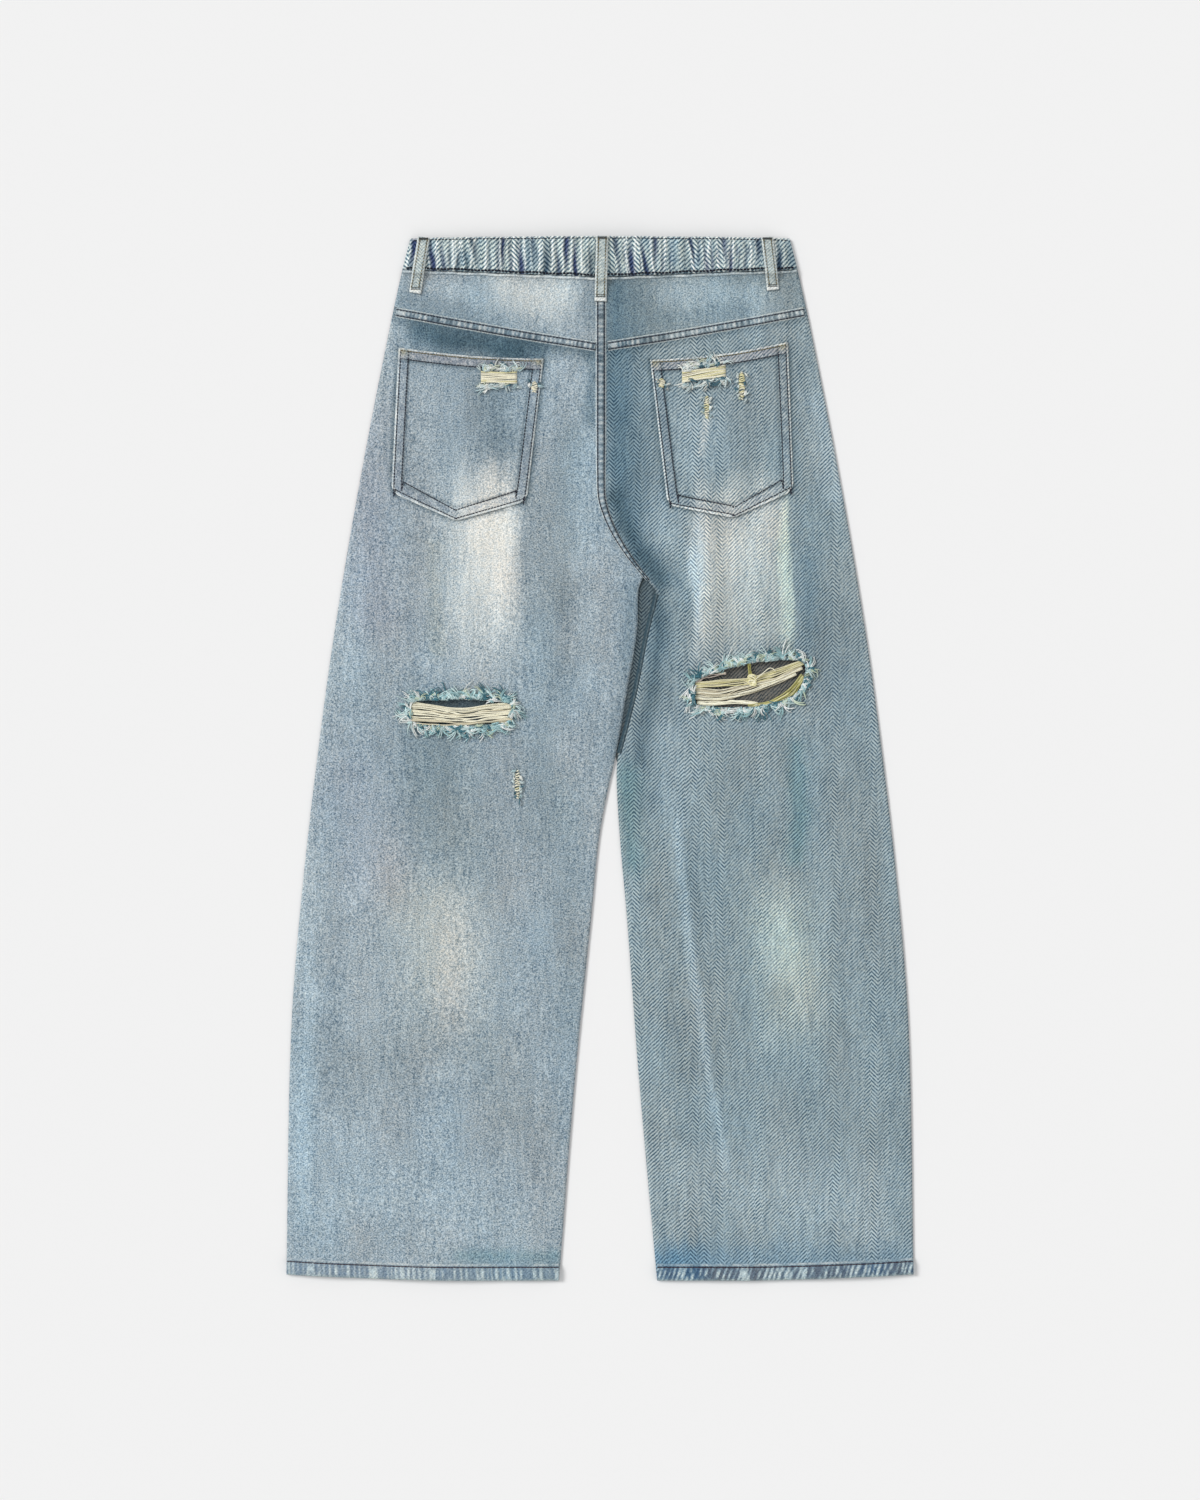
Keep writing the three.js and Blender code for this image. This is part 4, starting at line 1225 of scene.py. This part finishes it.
def pocket(side):
    u = np.linspace(0, 1, POCKET_GRID[0])[None, :]
    v = np.linspace(0, 1, POCKET_GRID[1])[:, None]
    x, y = pocket_points(side, u + 0 * v, v + 0 * u)
    (tlx, _), _, (trx, _) = POCKETS[side]["top"]
    edge = distance_to_line(x, y, pocket_edge(side))
    head = distance_to_line(x, y, POCKETS[side]["top"])
    near = np.minimum(edge, head)
    fold = 0.7 * ease(11, 9.5, edge) + 0.9 * ease(12.5, 11, head)
    pucker = cloudy(x, y, 3.6, 101 if side == "left" else 102)
    z = pocket_surface(x, y) + 0.6 * fold + 0.35 * pucker * bell(near - 6, 4) - rolled(near, 1.6, 1.3)
    z = z - 0.5 * bell(edge - 11.4, 1.2) - 0.3 * bell(edge - 2.4, 0.8) - 0.3 * bell(head - 2.4, 0.8)
    tint = wash(x, y, side)
    tint = blend(tint, WASH["lilac"] * 0.8, 0.2 * ease(18, 2, head))
    tint = blend(tint, WASH["pocket_hem"], 0.4 * ease(12, 10.5, head))
    # Painted shade in the troughs between the puckers along the pocket's edges.
    tint = blend(tint, WASH["indigo"], 0.34 * (1 - pucker) * bell(near - 6.4, 3.4))
    tint = blend(tint, WASH["pale"], 0.22 * ease(0.5, 1, pucker) * bell(near - 6, 3.4))
    # Painted shade just inside the raised side band and just under the raised top hem.
    tint = blend(tint, WASH["darkest_shade"], 0.4 * bell(edge - 12.0, 1.3) + 0.5 * bell(head - 12.6, 1.7))
    rim = bell(near - 0.7, 0.95) * (0.75 + 0.35 * smooth_noise(x, y, 8, 103))
    tint = blend(tint, WASH["pocket_rim"], np.clip(rim, 0, 1))
    corner_x = np.minimum(np.abs(x - tlx), np.abs(x - trx))
    tack = bell(head - 4, 3.5) * bell(corner_x - 5, 5)
    tint = blend(tint, WASH["olive"], 0.55 * tack)
    piece = cloth(f"back_pocket_{side}_cloth", x, y, z, POCKET_SHELL, tint, DENIM[side])
    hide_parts(f"back_pocket_{side}")
    for inset in (2.4, 10.2):
        line = pocket_outline(side, inset)
        stitches(line, STITCH_DARK, 0.55, pocket_surface, 2.9, 2.2)
    shares = np.linspace(0.015, 0.985, 14)
    top_at, _ = pocket_frame(side)
    tx, ty = top_at(shares)
    for drop, tone in ((2.4, STITCH_OLIVE), (10.7, STITCH_DARK)):
        stitches(np.column_stack([tx, ty - drop]), tone, 0.8, pocket_surface, 2.9, 2.2)
    return piece


# ---- Hems ---------------------------------------------------------------------------

def hem_band(side):
    """The turned-up hem: a thick roped band that closes the leg's end."""
    y0 = HEM_BOTTOM + 8
    if side == "left":
        ends = (-float(side_edge(y0)) + 0.8, float(left_inner_line(y0)) - 0.8)
    else:
        ends = (float(right_inner_line(y0)) + 0.8, float(side_edge(y0)) - 0.8)
    xs = np.linspace(*ends, 12)
    line = np.column_stack([xs, hem_edge(xs) + HEM_DEPTH / 2])
    lean = 0.8 if side == "left" else -3.0
    rope = roped(5.4, 111 if side == "left" else 112, lean)

    def profile(s, u):
        body = 1.5 * np.clip(1 - np.abs(u) ** 8, 0, 1)
        return body + 0.75 * rope(s, u) * (1 - u * u) - 0.5 * bell(u - 0.88, 0.1)

    def colour(s, u, x, y):
        jitter = 0.6 * smooth_noise(s, u * 2, 2.9, 116) + 0.35 * smooth_noise(s, u, 11, 117)
        puff_up = np.clip(rope(s, u) + jitter, 0, 1)
        # Painted shade in the troughs of the rope: navy to grey on the right, bluer and lighter on the
        # left, as strong as depth.
        dark = blend(WASH["hem_dark"], WASH["hem_grey"], cloudy(x, 0 * y, 23, 118))
        dark = dark if side == "right" else dark * 0.3 + WASH["hem_left"] * 0.75
        depth, shine = (0.85, 0.7) if side == "right" else (0.62, 0.6)
        base = blend(wash_any(x, y), dark, depth * (1 - puff_up))
        base = blend(base, WASH["hem_pale"], shine * ease(0.4, 0.95, puff_up) * bell(u + 0.15, 0.95))
        return blend(base, WASH["mint"], 0.55 * bell(u + 1.0, 0.22) * (0.6 + 0.4 * jitter))

    band = strip(f"hem_{side}", line, HEM_DEPTH / 2 - 0.2, profile, colour, SEAM_DENIM,
                 across=15, step=1.1, wall=1.6)
    stitches(np.column_stack([xs, hem_edge(xs) + HEM_DEPTH - 1.4]), STITCH_BROWN, 1.2,
             back_surface, 2.9, 2.4)
    ledge = np.column_stack([xs, hem_edge(xs) + HEM_DEPTH + 0.8])

    def ledge_colour(s, u, x, y):
        broken = cloudy(s, 0 * s, 8, 115)
        return blend(wash_any(x, y), WASH["pale"], 0.7 * broken * bell(u, 0.7))

    edge = strip(f"hem_edge_{side}", ledge, 1.5, lambda s, u: 0.7 * (1 - u * u), ledge_colour,
                 SEAM_DENIM, across=5, wall=0.6)
    return [band, edge]


# ---- Belt loops ---------------------------------------------------------------------

LOOP_WIDTH = 12.0
LOOPS = [
    ("belt_loop_back_left", (-176, 521.2), (-185, 466)),
    ("belt_loop_back_centre", (2.3, 521.6), (0.5, 457)),
    ("belt_loop_back_right", (167, 521.2), (173, 469)),
]


def loop_surface(x, y):
    step = ease(band_seam(x) - 8, band_seam(x) - 2, y)
    on_band = back_under(x, y) + BAND_WALL + 3.4
    return mix(back_surface(x, y) + 0.9, on_band, step)


def belt_loop(name, top, end):
    path = [top, mix(np.array(top), np.array(end), 0.5), end]

    def profile(s, u):
        length = float(s.max())
        tack = bell(s, 4) + bell(length - s, 4)
        arch = 1.3 * np.sin(np.pi * np.clip(s / length, 0, 1))
        edge = 0.9 * np.clip(1 - np.abs(u) ** 5, 0, 1) + 0.35 * bell(np.abs(u) - 0.8, 0.14)
        return 1.0 + arch * 0.5 + edge - 0.5 * tack

    def colour(s, u, x, y):
        length = float(s.max())
        base = plain(s, WASH["loop"])
        base = base * (1 + 0.2 * smooth_noise(s, u * 6, 2.4, 121))[..., None]
        base = blend(base, WASH["loop_warm"], 0.2 * cloudy(s, u, 14, 122))
        base = blend(base, WASH["loop_groove"], 0.5 * bell(np.abs(u) - 0.6, 0.12))
        base = blend(base, WASH["loop_edge"], 0.8 * bell(np.abs(u) - 0.95, 0.14))
        return blend(base, WASH["loop_fold"], 0.85 * bell(length - s - 1.5, 2.0))

    piece = strip(f"{name}_cloth", path, LOOP_WIDTH / 2, profile, colour, LOOP_DENIM, loop_surface,
                  13, 1.2, 1.4)
    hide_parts(name)
    line = np.array(path)
    for shift in (-3.7, 3.7):
        row = line + np.array([shift, 0])
        stitches([row[0] - [0, 2], row[1], row[2] + [0, 5]], STITCH_OLIVE, 2.3, loop_surface, 3.0, 2.2)
    for share in (0.02, 0.04, 0.90, 0.93):
        middle = mix(line[0], line[2], share)
        stitches([middle - [4.8, 0], middle, middle + [4.8, 0]], WASH["loop_tack"], 1.9,
                 loop_surface, 1.4, 1.3)
    return piece


def front_loop(name, x):
    top, foot = 514, 462
    path = [(x, top), (x, (top + foot) / 2), (x, foot)]

    def surface(px, py):
        end = np.minimum(top - py, py - foot)
        return waist_lift(px, py) - GAP - 0.9 * ease(0, 9, end)

    def colour(s, u, px, py):
        return plain(px, 0.35)

    piece = strip(f"{name}_cloth", path, LOOP_WIDTH / 2, lambda s, u: 0 * s, colour, LOOP_DENIM,
                  surface, 7, 3.0, 1.4)
    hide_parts(name)
    return piece


# ---- Rips ---------------------------------------------------------------------------

CREAM = linear((255, 250, 226))
STRAW = linear((236, 230, 184))
OLIVE = linear((190, 186, 132))
YARNS = {
    "pale": [CREAM, CREAM, CREAM * 0.92, linear((224, 216, 190))],
    "yellow": [STRAW, CREAM, linear((226, 220, 184)), linear((206, 200, 150))],
    "olive": [OLIVE, linear((186, 182, 112)), STRAW * 0.9],
    "rose": [linear((222, 208, 196)), CREAM],
}
FRINGE = [linear(rgb) for rgb in (
    (216, 240, 240), (176, 214, 218), (250, 255, 252), (84, 134, 148), (212, 226, 204),
)]
POCKET_FRAY = [linear(rgb) for rgb in (
    (220, 234, 234), (186, 210, 214), (248, 252, 246), (92, 128, 142), (220, 228, 208),
)]
FRINGE_ENDS, FRINGE_REACH = 1100, 14.5
KNOT, KNOT_TURNS = (152, 79), 5

# A point on the cloth beside each rip.
BESIDE_RIP = {"left": (-139.0, 64.0), "right": (150.0, 102.0)}

# Yarns that still cross the rips: rip, path, count, half widths along it, sag, radius, colours
# and height over the cloth beside the rip.
BUNDLES = [
    ("left", [(-190, 46), (-165, 44), (-135, 41), (-110, 44), (-88, 46)], 15,
     [10, 8.5, 7.6, 8.6, 9], 1.3, 0.6, "pale", 0.7),
    ("left", [(-190, 56), (-172, 53), (-138, 49.6), (-106, 53.5), (-88, 54)], 4,
     [2.2, 1.6, 1.0, 1.8, 2.0], 0.5, 0.55, "pale", -0.8),
    ("right", [(95, 74), (120, 76), (151, 79), (178, 87), (203, 97)], 7,
     [2.8, 3.4, 2.6, 3.6, 2.8], 1.1, 0.54, "yellow", -0.8),
    ("right", [(95, 68), (122, 67), (150, 74), (176, 80), (202, 92)], 7,
     [3.0, 3.2, 2.6, 2.4, 2.6], 1.1, 0.5, "pale", -1.2),
    ("right", [(95, 62), (120, 61), (145, 66), (170, 74), (196, 86)], 5,
     [2.6, 2.4, 1.8, 1.8, 2.4], 1.0, 0.5, "pale", -1.6),
    ("right", [(148, 52.5), (171, 55.5), (190, 66), (204, 83)], 9,
     [1.6, 2.8, 4.4, 3.6], 1.1, 0.54, "olive", -1.3),
    ("right", [(95, 77), (108, 83), (126, 86)], 3, [1.4, 2.0, 1.2], 0.8, 0.5, "rose", -0.6),
    ("right", [(97, 56), (112, 55.5), (134, 57), (158, 55)], 5,
     [2.0, 2.2, 2.0, 1.4], 0.8, 0.55, "pale", -1.5),
    ("right", [(149, 96), (150, 88), (151, 80)], 3, [1.8, 1.4, 1.2], 0.4, 0.55, "olive", -0.9),
]


def yarn_bundle(path, count, spread, sag_noise, radius, tints, height):
    """Loose parallel yarns along a path, spread across it. spread gives the half width at
    the start, the middle and the end."""
    middle = spline(path, 40)
    normal = sideways(middle)
    t = np.linspace(0, 1, len(middle))
    half = np.interp(t, np.linspace(0, 1, len(spread)), spread)
    paths, tones = [], []
    for k in range(count):
        place = (k + 0.5) / count * 2 - 1 + RNG.uniform(-0.06, 0.06)
        wave = np.zeros(len(t))
        for freq in (1, 2, 3.5, 6):
            wave = wave + RNG.normal() * np.sin(2 * np.pi * freq * t + RNG.uniform(0, 6.3)) / (1 + freq)
        offset = place * half + sag_noise * wave * np.sin(np.pi * np.clip(t, 0.03, 0.97)) ** 0.5
        xy = middle + normal * offset[:, None]
        z = height + 0.7 * np.sin(np.pi * t) * RNG.uniform(-1, 1) + 0.5 * np.sin(7 * t + k)
        z = z + 0.4 * RNG.uniform(-1, 1)
        paths.append(np.column_stack([xy, z]))
        tones.append(tints[RNG.integers(len(tints))] * RNG.uniform(0.84, 1.15))
    return paths, [1.15 * radius * RNG.uniform(0.8, 1.2) for _ in paths], tones


def fringe(line, out, count, reach, seed, surface=back_surface, tints=FRINGE):
    """Curly cut warp ends in small tufts that stand out from an edge onto the cloth. out holds
    the direction away from the hole at each point of the line."""
    rng = np.random.default_rng(seed)
    paths, radii, tones = [], [], []
    n, tuft = 8, 4
    t = np.linspace(0, 1, n)
    for _ in range(count // tuft):
        k = rng.integers(len(line))
        lead = out[k] + np.clip(rng.normal(0, 0.38, 2), -0.6, 0.6)
        size = reach * rng.uniform(0.4, 1.2)
        curl = rng.uniform(1.2, 3.9) * rng.choice([-1, 1])
        lift = rng.uniform(0.3, 0.9)
        start = rng.normal(0, 0.5)
        tone = tints[rng.choice(5, p=[0.3, 0.2, 0.24, 0.18, 0.08])] * rng.uniform(0.8, 1.1)
        for _ in range(tuft):
            away = lead / np.linalg.norm(lead) + rng.normal(0, 0.1, 2)
            side = np.array([-away[1], away[0]])
            bend = curl + rng.normal(0, 0.35)
            swing = np.cumsum(np.sin(bend * t + start)) / n
            rise = np.cumsum(np.cos(bend * 0.7 * t)) / n
            at = line[k] + away * rng.uniform(-0.6, 0.6) + side * rng.uniform(-0.9, 0.9)
            reached = size * rng.uniform(0.8, 1.1)
            x = at[0] + reached * (away[0] * rise + side[0] * swing)
            y = at[1] + reached * (away[1] * rise + side[1] * swing)
            z = surface(x, y) + 0.5 + 2.6 * lift * np.sin(np.pi * t * 0.9) + 0.7 * rng.uniform(0, 1)
            paths.append(np.column_stack([x, y, z]))
            radii.append(np.linspace(0.72, 0.4, n) * rng.uniform(0.8, 1.15))
            tones.append(tone * rng.uniform(0.88, 1.06))
    return paths, radii, tones


def outward(line):
    """The direction away from the middle of a closed line, mostly up or down the leg."""
    ahead = np.roll(line, -3, 0) - np.roll(line, 3, 0)
    normal = np.column_stack([ahead[:, 1], -ahead[:, 0]])
    normal /= np.linalg.norm(normal, axis=1)[:, None]
    if ((line - line.mean(0)) * normal).sum() < 0:
        normal = -normal
    return normal


# Small worn places: left, right, bottom and top at the left, rise to the right, count of yarns,
# what they lie on and count of frayed ends. Tall ones are frayed at their sides, wide ones above
# and below.
WORN = [
    (-119, -83, 375.5, 387, 0, 9, "pocket", 280),
    (82, 125.5, 375.5, 387, 7, 9, "pocket", 300),
    (138.8, 144.8, 359.5, 387.5, 0, 15, "pocket", 80),
    (104.2, 109.2, 340, 363, 0, 11, "pocket", 60),
    (-69, -62.5, 366.5, 377, 0, 6, "pocket", 26),
    (57.5, 65, 371.5, 380, 0, 6, "pocket", 26),
    (-85, -80, -40, -11, 0, 12, "panel", 80),
]


def worn_places():
    wefts, tufts = ([], [], []), ([], [], [])
    for k, (x0, x1, y0, y1, rise, count, where, frays) in enumerate(WORN):
        surface = pocket_surface if where == "pocket" else back_surface
        tall = y1 - y0 > x1 - x0
        for j in range(count):
            share = (j + 0.5) / count
            t = np.linspace(0, 1, 14)
            bow = 1 - np.sqrt(np.clip(1 - (2 * share - 1) ** 2, 0.1, 1))
            narrow = 0.5 * (x1 - x0) * bow if tall else 0
            x = mix(x0 + narrow, x1 - narrow, t)
            y = mix(y0, y1, share) + rise * t + 0.5 * np.sin(5 * t + j) + RNG.normal(0, 0.2)
            z = surface(x, y) + 0.5 + 0.9 * np.sin(np.pi * t) + 0.3 * np.sin(9 * t + 2 * j)
            tone = [CREAM, CREAM, STRAW, CREAM * 0.88][RNG.integers(4)]
            add_threads(wefts, ([np.column_stack([x, y, z])], [0.74], [tone * RNG.uniform(0.85, 1.0)]))
        if tall:
            edges = [[(x0, y0), (x0, y1)], [(x1, y0), (x1, y1)]]
            away, reach = np.array([-0.8, 0.6]), 4.5
        else:
            edges = [[(x0, y1), (x1, y1 + rise)], [(x0, y0), (x1, y0 + rise)]]
            away, reach = np.array([0.0, 1.0]), 12.5
        line = np.vstack([spline(edge, 40) for edge in edges])
        out = np.vstack([np.tile(away, (40, 1)), np.tile(-away, (40, 1))])
        add_threads(tufts, fringe(line, out, frays, reach, 140 + k, surface, POCKET_FRAY))
    return wefts, tufts


def add_threads(store, batch):
    for target, values in zip(store, batch):
        target.extend(values)


def half_of(batch, side):
    """The threads of a batch that lie on the left or right half."""
    chosen = [k for k, path in enumerate(batch[0]) if (np.mean(path[:, 0]) < 2) == (side == "left")]
    return [[values[k] for k in chosen] for values in batch]


def rip_threads():
    wefts, tufts = ([], [], []), ([], [], [])
    base = {side: float(back_surface(*map(np.array, place))) for side, place in BESIDE_RIP.items()}
    for side, path, count, spread, sag, radius, tints, rise in BUNDLES:
        height = base[side] + rise
        add_threads(wefts, yarn_bundle(path, count, spread, sag, radius, YARNS[tints], height))
    rim = base["right"]
    t = np.linspace(0, 1, 70)
    for k in range(3):
        wind = 2 * np.pi * KNOT_TURNS * t + k
        knot = np.column_stack([
            KNOT[0] + (3.2 + 0.5 * k) * np.cos(wind),
            KNOT[1] + 6 * (t - 0.5) + (2.2 + 0.6 * k) * np.sin(wind * 0.9),
            rim + 0.6 + 1.4 * np.sin(wind * 1.1),
        ])
        add_threads(wefts, ([knot], [0.6], [STRAW if k else CREAM]))
    end = [(156, 80, 1.5), (163, 86, 3), (170, 91, 1.6), (176, 88, 0.6)]
    tail = spline([(x, y, rim + rise) for x, y, rise in end], 16)
    add_threads(wefts, ([tail], [0.5], [CREAM]))
    for side, seed in (("left", 131), ("right", 132)):
        outline = spline(rip_outline(side), 600, closed=True)
        add_threads(tufts, fringe(outline, outward(outline), FRINGE_ENDS, FRINGE_REACH, seed))
    worn_wefts, worn_tufts = worn_places()
    add_threads(wefts, worn_wefts)
    add_threads(tufts, worn_tufts)
    return {
        side: [
            tubes(f"loose_yarns_{side}", *half_of(wefts, side), FRAYED, "frayed_yarn", sides=5),
            tubes(f"fringe_{side}", *half_of(tufts, side), FRAYED, "frayed_yarn", sides=3),
        ]
        for side in ("left", "right")
    }


# ---- Build --------------------------------------------------------------------------

make_camera()
make_studio()

button = bpy.data.objects["waist_button"].data
button.materials.clear()
button.materials.append(aged_brass("aged_brass"))

fronts = {side: front_panel(side) for side in ("left", "right")}
backs = {side: back_panel(side) for side in ("left", "right")}
yokes = {side: yoke(side) for side in ("left", "right")}
placket = fly_placket()
front_bands = {side: front_band(side) for side in ("left", "right")}
waistband = back_band()
ledge = band_ledge()
pockets = {side: pocket(side) for side in ("left", "right")}
felled_bands = yoke_seams()
seat_band = seat_seam_band()
ridge = inseam_ridge()
hems = {side: hem_band(side) for side in ("left", "right")}
loops = [belt_loop(*loop) for loop in LOOPS]
front_loops = [front_loop("belt_loop_front_left", -85), front_loop("belt_loop_front_right", 85)]
threads = rip_threads()
sewn = (STITCH_PATHS, [STITCH_RADIUS] * len(STITCH_PATHS), STITCH_TINTS)
stitching = {
    side: tubes(f"stitching_{side}", *half_of(sewn, side), THREAD, "thread", sides=4)
    for side in ("left", "right")
}


for loop, below, (_, top, end) in zip(loops, (yokes["left"], yokes["left"], yokes["right"]), LOOPS):
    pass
